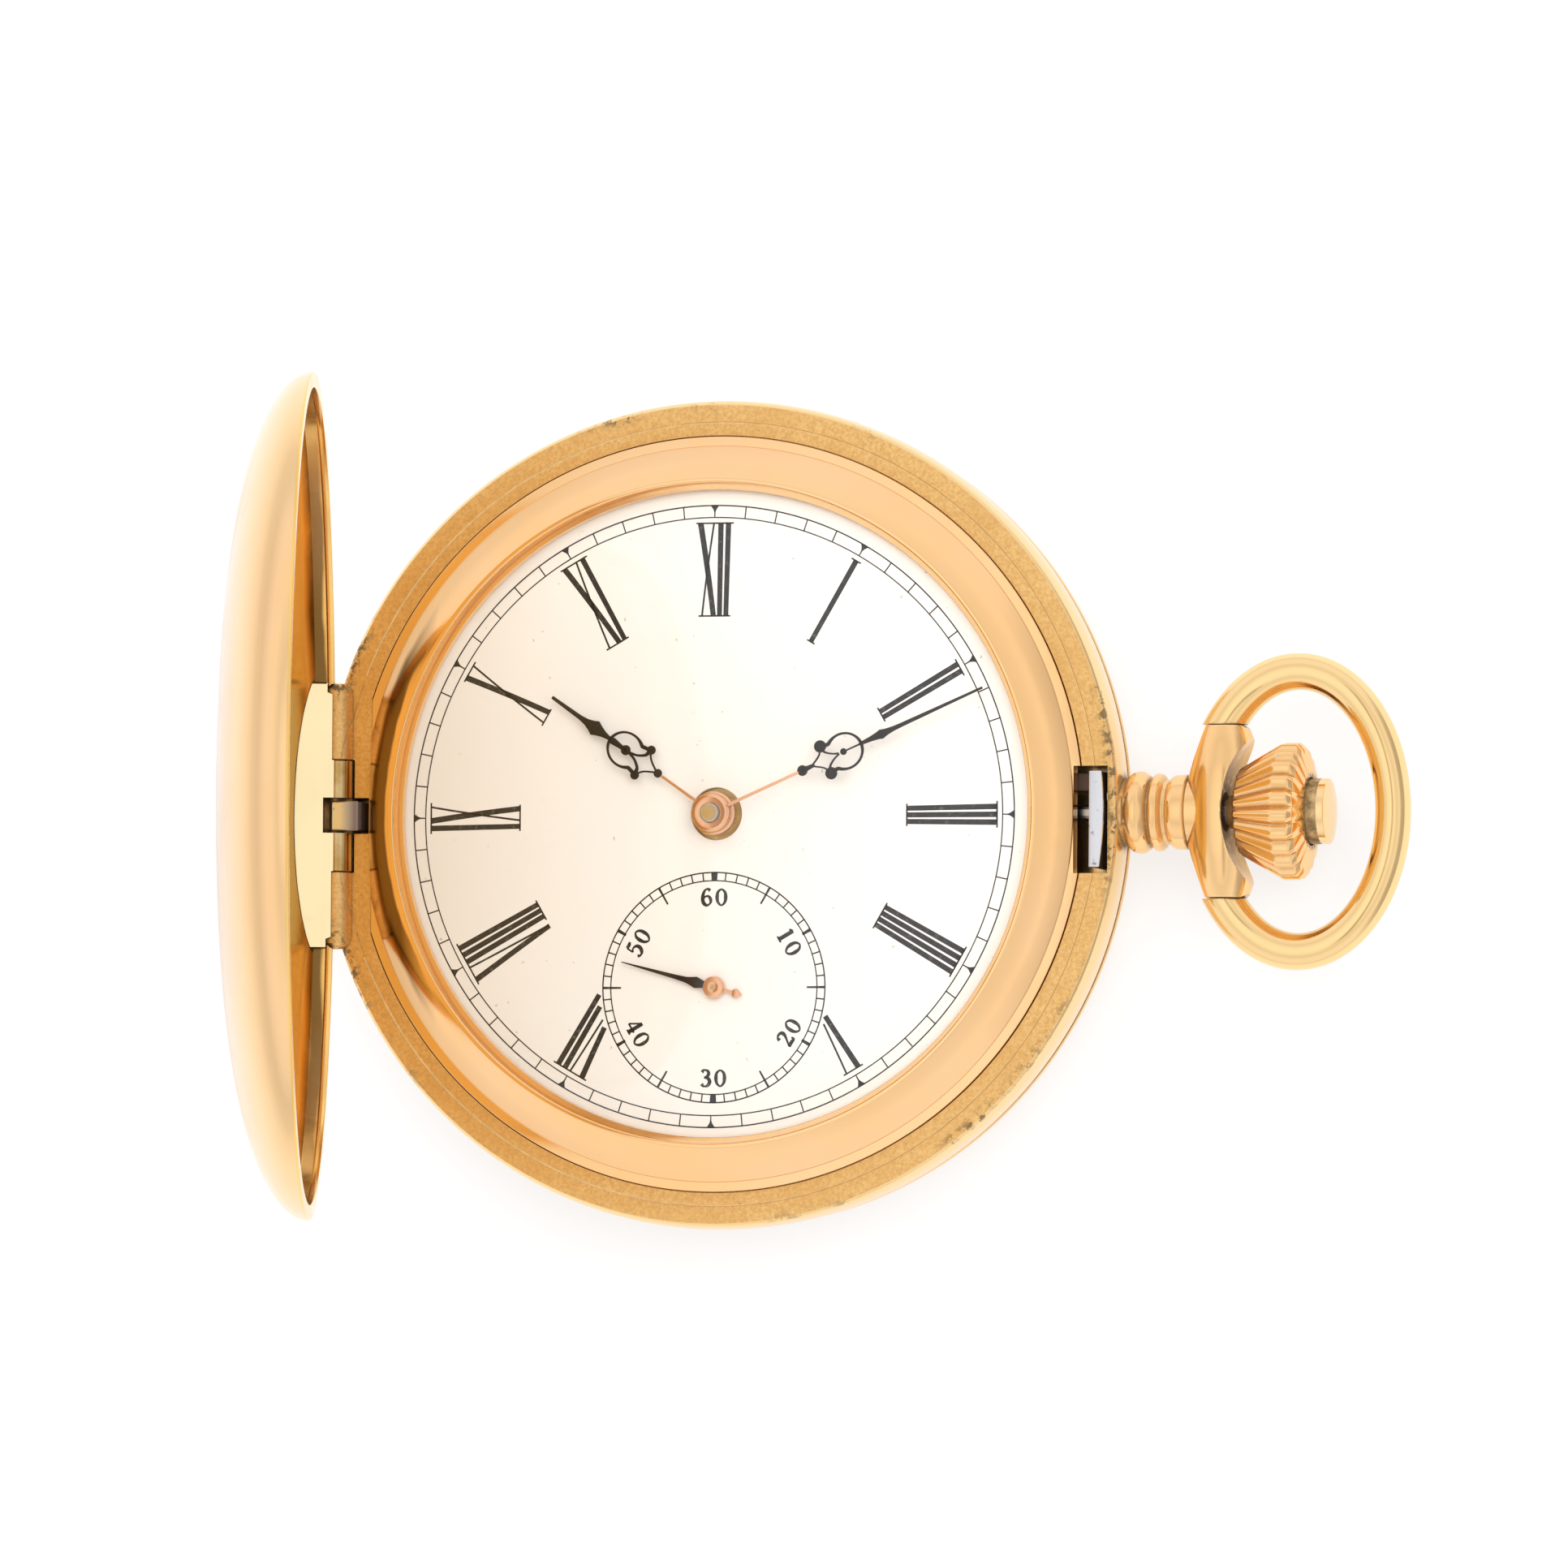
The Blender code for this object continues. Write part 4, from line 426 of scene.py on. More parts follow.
def matte_seat():
    """The case: grained matte gilding on its seat and knuckles, polished on the round of the band."""
    look = Look("case_gold")
    facing = look.axis("Z", look.add("ShaderNodeNewGeometry").outputs["Normal"])
    height, along, radius = look.axis("Z"), look.axis("X"), look.radius()
    aside = look.axis("Y", look.vector("ABSOLUTE", look.place))
    seat = look.times(look.spread(height, 0.00785, 0.00792), look.spread(facing, 0.9, 0.97))
    hinge = look.times(look.spread(along, -0.0226, -0.0228), look.spread(height, 0.0070, 0.0072))
    flat = look.most(seat, hinge)
    grain = look.noise(5200, 3)
    worn = look.spread(look.noise(260, 5), 0.4, 0.7)

    # black flakes on the rim, thickest beside the pendant and the hinge
    by_pendant = look.times(look.spread(along, 0.0238, 0.0242), look.spread(aside, 0.0035, 0.006, 1.0, 0.0))
    by_hinge = look.times(look.spread(along, -0.0215, -0.0225), look.spread(aside, 0.006, 0.0075))
    zones = look.most(look.spread(look.noise(75, 3), 0.57, 0.63), by_pendant, by_hinge)
    rim = look.times(look.spread(radius, 0.0242, 0.0248), look.spread(height, 0.00772, 0.0079))
    flakes = look.times(look.spread(look.noise(1500, 6, rough=0.75), 0.5, 0.545), rim, zones, 0.8)

    # specks all over the seat, and the turned line round it
    specks = look.times(look.spread(look.noise(3400, 4, rough=0.7), 0.63, 0.7),
                        look.spread(look.noise(500, 3), 0.45, 0.6), flat, 0.5)
    line = look.band(radius, (0.02378, 0.02383), (0.02387, 0.02392), 0.5)
    line = look.times(line, flat, look.spread(look.noise(900, 4), 0.35, 0.6))
    # painted shade: darker where ambient occlusion finds the surface shut in, weaker inside the seat
    shut = look.times(look.crevice(0.7, 0.25, 0.7), look.spread(radius, 0.0231, 0.0234, 0.3, 1.0))
    dirt_and_shade = look.most(shut, flakes, specks, line)

    matte = look.mix(worn, (0.95, 0.63, 0.255), (0.88, 0.55, 0.20))
    matte = look.mix(look.spread(grain, 0.35, 0.65), matte, (0.80, 0.475, 0.165))
    bright = look.mix(look.noise(90, 3), (0.96, 0.70, 0.36), (0.94, 0.64, 0.30))
    look.bump(look.plus(look.times(grain, flat, 0.09), look.noise(170, 2)), 0.07, 0.3)
    return look.set(
        Base_Color=look.mix(dirt_and_shade, look.mix(flat, bright, matte), SHADE_AND_GRIME),
        Roughness=look.plus(look.spread(flat, 0, 1, 0.14, 0.42), look.times(grain, 0.08),
                            look.times(dirt_and_shade, 0.25)),
        Metallic=look.spread(dirt_and_shade, 0, 1, 1.0, 0.3),
    )


def plain(name, colour, rough, metallic, vary=0.04, scale=900):
    look = Look(name)
    value = look.noise(scale, 3)
    darker = tuple(c * 0.86 for c in colour)
    return look.set(
        Base_Color=look.mix(value, colour, darker),
        Roughness=look.spread(value, 0.3, 0.7, rough, rough + vary),
        Metallic=metallic,
    )


def striped(name, colour):
    """Nickel plate with straight damascened stripes."""
    look = Look(name)
    wave = look.add("ShaderNodeTexWave", wave_type="BANDS", bands_direction="DIAGONAL", wave_profile="SAW")
    look.plug(wave.inputs["Vector"], look.place)
    wave.inputs["Scale"].default_value = 95
    wave.inputs["Distortion"].default_value = 0.0
    fine = look.noise(2600, 2, (1, 0.1, 1))
    look.bump(look.plus(wave.outputs["Fac"], look.times(fine, 0.15)), 0.12, 0.06)
    return look.set(
        Base_Color=look.mix(wave.outputs["Fac"], colour, tuple(c * 0.84 for c in colour)),
        Roughness=look.spread(fine, 0.3, 0.7, 0.22, 0.34),
        Metallic=1.0,
    )


def rust_and_shade_steel(name, colour, share, brown=None):
    """Bright steel with brown rust spots, painted shade browner down in the case and in its hollows, and
    browner along X over the range brown.
    """
    look = Look(name)
    spots = look.spread(look.noise(1900, 5), share, share + 0.12)
    # painted shade: browner down in the case, and in hollows by ambient occlusion
    deep = look.spread(look.axis("Z"), 0.0079, 0.0084, 0.95, 0.0)
    dirt_and_shade = look.most(spots, deep, look.crevice(0.3, 0.3, 0.7))
    if brown:
        dirt_and_shade = look.most(dirt_and_shade, look.spread(look.axis("X"), *brown, 0.0, 0.8))
    look.bump(look.noise(2600, 4), 0.15, 0.05)
    return look.set(
        Base_Color=look.mix(dirt_and_shade, colour, (0.12, 0.055, 0.025)),
        Roughness=look.spread(dirt_and_shade, 0, 1, 0.2, 0.6),
        Metallic=look.spread(dirt_and_shade, 0, 1, 1.0, 0.4),
    )


def enamel():
    look = Look("dial_enamel")
    cloud = look.spread(look.noise(70, 4), 0.35, 0.65)
    dots = look.spread(look.noise(2300, 2), 0.73, 0.78)
    base = look.mix(cloud, (0.88, 0.835, 0.775), (0.86, 0.825, 0.775))
    look.bump(look.noise(260, 3), 0.02, 0.1)
    look.shader.inputs["Coat Weight"].default_value = 0.25
    look.shader.inputs["Coat Roughness"].default_value = 0.12
    return look.set(Base_Color=look.mix(dots, base, (0.6, 0.52, 0.42)), Roughness=0.42, Metallic=0.0)


def ink():
    look = Look("dial_ink")
    worn = look.spread(look.noise(3000, 4), 0.56, 0.72)
    look.shader.inputs["Specular IOR Level"].default_value = 0.25
    return look.set(Base_Color=look.mix(worn, (0.018, 0.017, 0.018), (0.10, 0.095, 0.09)), Roughness=0.5)


def glass():
    """Thin clear crystal: see-through, with a mirror share that grows where it is seen edge on."""
    look = Look("crystal_glass")
    facing = look.add("ShaderNodeLayerWeight")
    facing.inputs["Blend"].default_value = 0.5
    share = look.plus(look.times(look.math("POWER", facing.outputs["Facing"], 5.0), 0.3), 0.025)
    clear = look.add("ShaderNodeBsdfTransparent")
    clear.inputs["Color"].default_value = (0.985, 0.985, 0.98, 1)
    mixer = look.add("ShaderNodeMixShader")
    look.plug(mixer.inputs[0], share)
    look.tree.links.new(clear.outputs[0], mixer.inputs[1])
    look.tree.links.new(look.shader.outputs[0], mixer.inputs[2])
    output = next(n for n in look.tree.nodes if n.type == "OUTPUT_MATERIAL")
    look.tree.links.new(mixer.outputs[0], output.inputs["Surface"])
    return look.set(Base_Color=(0.95, 0.95, 0.95), Roughness=0.03, Metallic=1.0)


GOLD = polished("yellow_gold", (0.955, 0.70, 0.345), (0.94, 0.655, 0.30))
# olive colour for the dirt and painted shade in the pendant's grooves and hollows
PENDANT = polished("pendant_gold", (0.965, 0.66, 0.32), (0.95, 0.60, 0.27), grime_and_shade=1.0, reach=1.3,
                   grime_and_shade_colour=(0.26, 0.15, 0.055))
COVER_GOLD, LID_GOLD = (
    polished(name, (0.955, 0.66, 0.335), (0.945, 0.61, 0.30), 0.12, 0.22, 0.95, 0.5, 0.02, patch=patch)
    for name, patch in (("front_cover_gold", cover_painted_reflections), ("cover_gold", None)))
ROSE = polished("rose_gold", (0.975, 0.60, 0.26), (0.975, 0.63, 0.32), 0.1, 0.2, 0.6, 0.3, 0.02, undarkened_within=0.024,
                patch=hinge_painted_reflection)
CASE = matte_seat()
JOINT = polished("joint_gold", (0.99, 0.84, 0.50), (0.98, 0.80, 0.45), 0.14, 0.24, 1.0, 0.5,
                 patch=joint_painted_shade)
HAND_ROSE = polished("hand_rose_gold", (0.93, 0.56, 0.34), (0.88, 0.47, 0.26), 0.14, 0.25, 0.5, 0.2, 0.02)
HAND_STEEL = plain("hand_steel", (0.040, 0.036, 0.034), 0.34, 1.0, 0.1, 2200)
STEEL = plain("polished_steel", (0.62, 0.63, 0.65), 0.2, 1.0, 0.12)
CATCH = rust_and_shade_steel("catch_steel", (0.66, 0.67, 0.69), 0.62)
NUB = rust_and_shade_steel("nub_steel", (0.84, 0.82, 0.81), 0.62, (-0.0237, -0.0228))
NICKEL = striped("nickel_plate", (0.74, 0.71, 0.66))
BRASS = plain("train_brass", (0.80, 0.58, 0.25), 0.24, 1.0, 0.12)
BLUED = plain("blued_steel", (0.02, 0.05, 0.19), 0.2, 1.0, 0.1)
ENAMEL, INK, GLASS = enamel(), ink(), glass()
RUBY = plain("jewel", (0.62, 0.02, 0.06), 0.05, 0.0, 0.02)


# ---------------------------------------------------------------- case
def make_case():
    profile = [
        (23.05, 8.0, 0.03), (23.80, 8.0, 0.02), (23.85, 7.975, 0.015), (23.90, 8.0, 0.02), (24.93, 8.0, 0.06),
        (25.12, 7.78, 0.1), (25.24, 7.1, 0.3), (25.25, 6.3, 0.4), (25.17, 5.3, 0.3), (25.02, 4.65, 0.12),
        (24.93, 4.36, 0.06), (23.76, 4.35, 0.04), (23.56, 4.8, 0.05), (20.9, 4.8, 0.03), (20.9, 7.55, 0.03),
        (23.05, 7.55, 0.03),
    ]
    case = lathe("case", rounded(profile, closed=True, steps=3), closed=True)
    platform = block("platform", (-25, -8.6, 7.4), (-21.9, 8.6, 8.0))
    platform = carve(platform, lathe("inside", [(0, 9), (24.9, 9), (24.9, 7), (0, 7)]), "INTERSECT")
    case = carve(case, platform, "UNION")
    case = carve(case, block("flat", (-27, -8.35, 6.7), (HINGE_X - 0.1, 8.35, 9)))
    where = (HINGE_X, SEAT_Z)
    for low, high in ((MID_HALF + RUN, HINGE_HALF), (-HINGE_HALF, -MID_HALF - RUN)):
        knuckle = [(0, 0), (HINGE_R - 0.04, 0), (HINGE_R, 0.04), (HINGE_R, 3.9), (HINGE_R - 0.12, 4.35),
                   (HINGE_R - 0.45, high - low), (0, high - low)]
        sign = 1 if low > 0 else -1
        turned = lathe("knuckle", [(r, sign * (h + MID_HALF + RUN)) for r, h in knuckle], 64,
                       at=(HINGE_X, 0, SEAT_Z), along="Y")
        case = carve(case, turned, "UNION")
    case = carve(case, bar("room", HINGE_R + 0.12, -MID_HALF - RUN, MID_HALF + RUN, "Y", where, 64))
    case = carve(case, bar("pin_hole", PIN_R + 0.02, -9, 9, "Y", where, 40))
    case = carve(case, block("spring_slot", (-23.6, -1.08, 4.9), (-22.05, 1.12, 9)))
    case = carve(case, block("catch_slot", (22.4, SLOT_LOW, 5.1), (24.5, SLOT_HIGH, 9)))
    case = carve(case, block("catch_pocket", (19, SLOT_LOW, 5.1), (23, SLOT_HIGH, 7.1)))
    case = carve(case, bar("pendant_bore", 1.8, 23.9, 27, "X", (0, STEM_Z), 64))
    small_hinges = ((BACK_AXIS, 0.72, 5.1, 0.62, 2.1, 5.3), (DUST_AXIS, 0.44, 3.1, 0.36, 1.35, 3.3))
    for axis, room, half, radius, inner, outer in small_hinges:
        case = carve(case, bar("room", room, -half, half, "Y", axis))
        for low, high in ((inner, outer), (-outer, -inner)):
            case = carve(case, bar("knuckle", radius, low, high, "Y", axis, 40, 0.04), "UNION")
    dress(case, "case", CASE, "satin_gold", "case_middle")
    pin = bar("front_pin", PIN_R, -HINGE_HALF + 0.02, HINGE_HALF - 0.02, "Y", where, 40, 0.08)
    dress(pin, "case", GOLD, "polished_gold", "front_hinge_pin")
    pins = (("back", BACK_AXIS, 0.22, 5.2, 32), ("dust", DUST_AXIS, 0.14, 3.2, 24))
    for name, axis, radius, half, sides in pins:
        pin = bar(name + "_pin", radius, -half, half, "Y", axis, sides, radius * 0.22)
        dress(pin, "case", GOLD, "polished_gold", name + "_hinge_pin")


def make_bezel():
    profile = [
        (20.08, 9.46, 0.03), (20.16, 9.53, 0.03), (20.34, 9.52, 0.06), (21.3, 9.00, 0.5), (22.38, 8.18, 0.03),
        (22.42, 8.12, 0.02), (22.98, 8.07, 0.04), (23.0, 7.6, 0.03), (20.45, 7.6, 0),
        (20.45, 8.06, 0), (19.7, 8.1, 0.03), (19.7, 8.7, 0.03), (20.06, 8.7, 0),
    ]
    bezel = turned_ring("bezel_ring", profile)
    bezel = carve(bezel, block("hinge_flat", (-25, -9, 7), (-21.85, 9, 10)))
    bezel = carve(bezel, block("catch_notch", (22.4, SLOT_LOW, 7), (25, SLOT_HIGH, 9)))
    dress(bezel, "case", ROSE, "rose_gold", "bezel")


def make_crystal():
    edge, inner, low, rise = 20.04, 19.54, 8.74, 1.25
    fractions = list(np.linspace(0, 0.9, 16)) + [0.93, 0.955, 0.975, 0.987]
    outer = [(edge * f, low + 0.65 + rise * math.sqrt(1 - f**8)) for f in fractions]
    outer += [(edge, low + 0.72), (edge, low)]
    inside = [(inner * f, low + rise * math.sqrt(1 - f**8)) for f in reversed(fractions)]
    crystal = lathe("glass", outer + [(inner, low)] + inside, smooth=60)
    dress(crystal, "case", GLASS, "crystal_glass", "crystal")


def make_dial():
    profile = [(1.6, 8.0, 0.03), (20.25, 8.0, 0.03), (20.3, 7.6, 0.02), (1.6, 7.6, 0.02)]
    hole = lathe("hole", [(0, 9), (0.4, 9), (0.4, 7), (0, 7)], 48, at=(*SECONDS_AT, 0))
    dial = carve(turned_ring("dial_plate", profile), hole)
    dress(dial, "case", ENAMEL, "dial_enamel", "dial")


def shell(name, radius, rise, power, wall, rim_inner, rim_height, reach=0.0):
    """A domed cover with its rim plane at height 0: outer curve, rim, lip and inner curve."""
    fractions = [math.sin(t) for t in np.linspace(0, math.pi / 2, 40)]

    def curve(r, h):
        points = [(r * f, h * math.sqrt(max(0.0, 1 - f**power))) for f in fractions]
        if reach:
            points = [(0, h), (reach, h)] + [p for p in points if p[0] > reach + 2]
        return points

    outer = curve(radius, rise)
    points = outer[:-1] + rounded([(radius, 0.18), (radius - 0.05, 0.0, 0.06), (rim_inner, 0.0, 0.05),
                                   (rim_inner - 0.02, rim_height, 0.06), (rim_inner + 0.1, rim_height + 0.1)])
    inner = [p for p in reversed(curve(radius - wall, rise - wall)) if p[0] < rim_inner + 0.2]
    return lathe(name, points + [p for p in inner if p[1] > rim_height + 0.1])


def lifted(obj, height, flip=False):
    turn = Matrix.Rotation(math.pi, 4, "X") if flip else Matrix.Identity(4)
    obj.data.transform(Matrix.Translation((0, 0, height * MM)) @ turn)
    return obj


def make_covers():
    where = (HINGE_X, SEAT_Z)
    cover = lifted(shell("cover", 25.35, 5.4, 2.8, 0.38, 24.4, 0.34), SEAT_Z + RUN)
    cover = carve(cover, bar("room", HINGE_R + 0.1, -HINGE_HALF - RUN, HINGE_HALF + RUN, "Y", where, 64))
    cover = carve(cover, block("rim_room", (-26, -8.2, 7), (HINGE_X - 0.6, 8.2, 8.3)))
    dress(opened(cover), "front_lid", COVER_GOLD, "polished_gold", "front_cover")

    fractions = [math.sin(t) for t in np.linspace(0, math.pi / 2, 30)]
    inside = [(24.94 * f, 4.99 * math.sqrt(max(0.0, 1 - f**2.8))) for f in fractions]
    joint = lifted(lathe("joint", inside + [(0, 0)]), SEAT_Z + RUN)
    edge = [(-26, 8.05), (-23.05, 8.05), (-22.6, 11.5), (-26, 11.5)]
    slab = swept("slab", [[(x, y, z) for x, z in edge] for y in (-8.05, 8.05)])
    joint = carve(joint, slab, "INTERSECT")
    rim = lathe("rim", [(24.2, 8.48), (27, 8.48), (27, 7), (24.2, 7)], closed=True)
    joint = carve(joint, rim)
    for low, high in ((MID_HALF, 9), (-9, -MID_HALF)):
        joint = carve(joint, bar("room", HINGE_R + 0.08, low, high, "Y", where, 64))
    joint = carve(joint, bar("knuckle", HINGE_R, -MID_HALF, MID_HALF, "Y", where, 64, 0.06), "UNION")
    joint = carve(joint, block("nub_room", (-24.64, -1.06, 6.7), (-22.05, 1.10, 8.70)))
    joint = carve(joint, bar("pin_hole", PIN_R + 0.02, -9, 9, "Y", where, 40))
    dress(opened(joint), "front_lid", JOINT, "polished_gold", "cover_joint")

    back = lifted(shell("back", 25.05, 4.2, 3.2, 0.38, 24.2, 0.5, 7.0), 4.2, flip=True)
    back = carve(back, bar("room", 0.7, -5.4, 5.4, "Y", BACK_AXIS))
    back = carve(back, bar("pendant_room", 2.7, 24.85, 27, "X", (0, STEM_Z), 64))
    back = carve(back, bar("knuckle", 0.62, -2.05, 2.05, "Y", BACK_AXIS, 40, 0.04), "UNION")
    back = carve(back, block("web", (-24.75, -2.05, 3.65), (-23.75, 2.05, 4.05)), "UNION")
    back = carve(back, bar("hole", 0.24, -9, 9, "Y", BACK_AXIS, 32))
    dress(back, "back_lid", LID_GOLD, "polished_gold", "back_cover")

    dust = lifted(shell("inner", 23.2, 3.25, 8, 0.3, 22.5, 0.35), 4.65, flip=True)
    dust = carve(dust, bar("room", 0.42, -3.4, 3.4, "Y", DUST_AXIS))
    dust = carve(dust, bar("knuckle", 0.36, -1.3, 1.3, "Y", DUST_AXIS, 40, 0.03), "UNION")
    dust = carve(dust, block("web", (-23.15, -1.3, 4.1), (-22.25, 1.3, 4.35)), "UNION")
    dust = carve(dust, bar("hole", 0.15, -9, 9, "Y", DUST_AXIS, 24))
    dress(dust, "inner_lid", LID_GOLD, "polished_gold", "dust_cover")


# ---------------------------------------------------------------- springs of the case
def leaf(name, start, end):
    """A leaf spring bent to the bore."""
    corners = ((20.25, 5.2), (20.65, 5.2), (20.65, 6.5), (20.25, 6.5))
    angles = np.radians(np.linspace(start, end, 40))
    return swept(name, [[(r * math.cos(a), r * math.sin(a), z) for r, z in corners] for a in angles])


def make_case_springs():
    arm = block("arm", (-22.95, -0.8, 5.2), (-20.4, 0.8, 6.5), 0.1)
    post = block("post", (-23.1, -0.86, 5.3), (-22.57, 0.86, 8.55), 0.1)
    nub = block("nub", (-24.30, -0.91, 8.37), (-22.56, 0.91, 8.64), 0.12)
    dress(joined("lift", [leaf("leaf", 181, 218), arm, post, nub]), "lift_spring_body", NUB, "steel",
          "lift_spring")
    arm = block("arm", (20.35, 1.3, 5.2), (23.6, 2.4, 6.5), 0.1)

    def curved(name, x, low, high, radius):
        return carve(block(name, (x, -3.4, low), (25.5, 2.4, high)),
                     lathe("arc", [(0, 10), (radius, 10), (radius, 5), (0, 5)]), "INTERSECT")

    lip = carve(curved("lip", 23.5, 5.2, 8.6, 24.2), curved("nose", 23.62, 8.52, 8.82, 24.42), "UNION")
    lip = carve(lip, block("notch", (22, -0.95, 5), (25, 1.3, 6.85)))
    lip = bevelled(lip, 0.24, 4)
    dress(joined("lock", [leaf("leaf", 3.6, 42), arm, lip]), "lock_spring_body", CATCH, "steel",
          "lock_spring")


# ---------------------------------------------------------------- pendant, crown, bow
def make_pendant():
    outer = rounded([
        (1.90, 24.97), (2.06, 25.05, 0.06), (2.12, 25.38, 0.12), (2.40, 25.68, 0.2), (2.50, 25.95, 0.15),
        (2.50, 26.30, 0.15), (2.22, 26.68, 0.12), (1.95, 26.84, 0.05), (2.06, 26.94, 0.04),
        (2.34, 27.08, 0.06), (2.38, 27.28, 0.1), (2.30, 27.50, 0.08), (1.95, 27.72, 0.06),
        (1.90, 27.94, 0.06), (2.16, 28.12, 0.08), (2.26, 28.35, 0.12), (2.28, 29.1, 0.1), (2.1, 29.22, 0.1),
        (1.85, 29.22),
    ], steps=4)
    profile = [(1.85, 24.97)] + outer
    pendant = lathe("pendant", profile, 128, closed=True, at=(0, 0, STEM_Z), along="X", smooth=50)
    dress(pendant, "case", PENDANT, "polished_gold", "pendant_neck")


def make_yoke():
    half = [(29.25, 2.0), (30.35, 5.2), (32.45, 5.2), (33.2, 4.75)]
    outline = half + [(x, -y) for x, y in reversed(half)]
    yoke = swept("head", [[(x, y, z) for x, y in outline] for z in (STEM_Z - 2.6, STEM_Z + 2.6)])
    barrel = smooth_line([(1.45, 5.2), (1.75, 4.4), (2.02, 3.4), (2.25, 2.4), (2.4, 1.2), (2.45, 0),
                          (2.4, -1.2), (2.25, -2.4), (2.02, -3.4), (1.75, -4.4), (1.45, -5.2)], 5)
    body = lathe("barrel", [(0, 5.2)] + [tuple(p) for p in barrel] + [(0, -5.2)], 96,
                 at=(BOW_X - 0.1, 0, STEM_Z), along="Y")
    yoke = carve(yoke, body, "INTERSECT")
    neck = lathe("neck", [(0, 29.0), (1.9, 29.0), (2.14, 29.24), (2.05, 30.0), (1.7, 31.0), (0, 31.0)], 96,
                 at=(0, 0, STEM_Z), along="X")
    yoke = carve(yoke, neck, "UNION")
    room = smooth_line([(5.1, 34.0), (4.75, 33.4), (4.1, 32.7), (3.3, 32.0), (1.9, 31.35)], 5)
    room = lathe("room", [(0, 34.0)] + [tuple(p) for p in room] + [(0, 31.35)], 128, at=(0, 0, STEM_Z),
                 along="X")
    yoke = carve(yoke, room)
    yoke = carve(yoke, bar("bore", 1.2, 28, 33, "X", (0, STEM_Z)))
    dress(bevelled(yoke, 0.07, angle=40), "case", PENDANT, "polished_gold", "bow_yoke")


def make_crown():
    sections = [(0, 31.62), (1.0, 31.62), (1.05, 32.22), (2.5, 32.3), (2.66, 32.42), (4.1, 34.92),
                (4.15, 35.05), (4.15, 35.95), (4.08, 36.06), (3.82, 36.3), (2.5, 36.7), (2.35, 36.7)]
    outer = rounded([(*s, 0.05) for s in sections], steps=3)
    ribs, first = 22, math.radians(96.8)

    def flutes(radius, height, angle):
        """V-shaped grooves between slightly rounded ridges."""
        part = ((angle - first) * ribs / TAU) % 1.0
        groove = (1 - abs(2 * part - 1)) ** 1.7
        return radius - 0.42 * min(1.0, max(0.0, (radius - 1.3) / 1.8)) * groove

    inner = [(2.08, 36.66), (2.06, 36.3), (2.06, 35.4), (0.36, 35.4), (0.36, 34.2), (0, 34.2)]
    crown = lathe("crown_knob", outer, 22 * 20, at=(0, 0, STEM_Z), along="X", warp=flutes, smooth=50)
    lining = lathe("crown_well", [(2.36, 36.7)] + inner, 96, at=(0, 0, STEM_Z), along="X")
    dress(joined("crown_shell", [crown, lining], 50), "crown_and_stem", PENDANT, "polished_gold", "crown")


def make_button():
    profile = rounded([(0, 38.04), (1.0, 37.99, 0.3), (1.7, 37.88, 0.3), (1.96, 37.8, 0.02),
                       (1.985, 37.76, 0.02), (1.985, 36.2, 0.04), (0.3, 36.2, 0.02), (0.3, 24.3, 0.05),
                       (0, 24.3)])
    button = lathe("button_cap", profile, 96, at=(0, 0, STEM_Z), along="X")
    bar_piece = bar("cross", 0.16, -1.45, 1.45, "Y", (24.55, STEM_Z), 24, 0.03)
    look = Look("button_gold")
    # dirt and painted shade: darker and browner on the side, next to the crown
    dirt_and_shade = look.times(look.spread(look.axis("X"), 0.03734, 0.03740, 1.0, 0.0),
                      look.spread(look.noise(1500, 5), 0.3, 0.6, 0.35, 1.0))
    look.bump(look.noise(500, 3), 0.05, 0.1)
    finish = look.set(Base_Color=look.mix(dirt_and_shade, (0.96, 0.67, 0.33), (0.20, 0.13, 0.05)),
                      Roughness=look.spread(dirt_and_shade, 0, 1, 0.12, 0.6),
                      Metallic=look.spread(dirt_and_shade, 0, 1, 1.0, 0.4))
    dress(joined("button_piece", [button, bar_piece]), "button", finish, "polished_gold", "push_button")


def make_bow():
    centre_x, half_x, half_y = 35.85, 5.87, 8.46
    end = math.acos((BOW_X - centre_x) / half_x)
    while abs(half_y * math.sin(end)) > 3.6:
        end += 0.004
    path = []
    for i in range(161):
        t = 1 - 2 * i / 160
        angle = end * t
        wide = 1.09 * (1.0 + 0.16 * abs(t) ** 3)
        path.append((centre_x + half_x * math.cos(angle), half_y * math.sin(angle), wide))
    sections, turns = [], [TAU * k / 40 for k in range(40)]
    for i, (x, y, wide) in enumerate(path):
        before, after = path[max(0, i - 1)], path[min(len(path) - 1, i + 1)]
        way = Vector((after[0] - before[0], after[1] - before[1], 0)).normalized()
        across, middle = Vector((-way.y, way.x, 0)), Vector((x, y, STEM_Z))
        rays = (across * math.cos(a) + Vector((0, 0, math.sin(a))) for a in turns)
        sections.append([tuple(middle + wide * ray) for ray in rays])
    wire = carve(swept("wire", sections, 40), block("ends", (26, -5.27, 0), (34, 5.27, 12)))
    wire = bevelled(wire, 0.1, angle=60, smooth=50)
    pivots = [bar("pivot", 0.55, low, low + 1.9, "Y", (BOW_X, STEM_Z), 40, 0.05) for low in (4.3, -6.2)]
    dress(joined("bow_ring", [wire, *pivots], 50), "bow_body", GOLD, "polished_gold", "bow")


# ---------------------------------------------------------------- dial printing
INK_Z = 8.006
PRINT_AT = (-0.23, -0.15)  # the printing sits a little off the hands' axis
SECONDS_PRINT = (SECONDS_AT[0] - 0.1, SECONDS_AT[1])


def polar(centre, degrees):
    """A function from (outward, sideways) on the ray at this angle to (x, y)."""
    c, s = math.cos(math.radians(degrees)), math.sin(math.radians(degrees))
    return lambda r, u=0.0: (centre[0] + r * c + u * s, centre[1] + r * s - u * c)


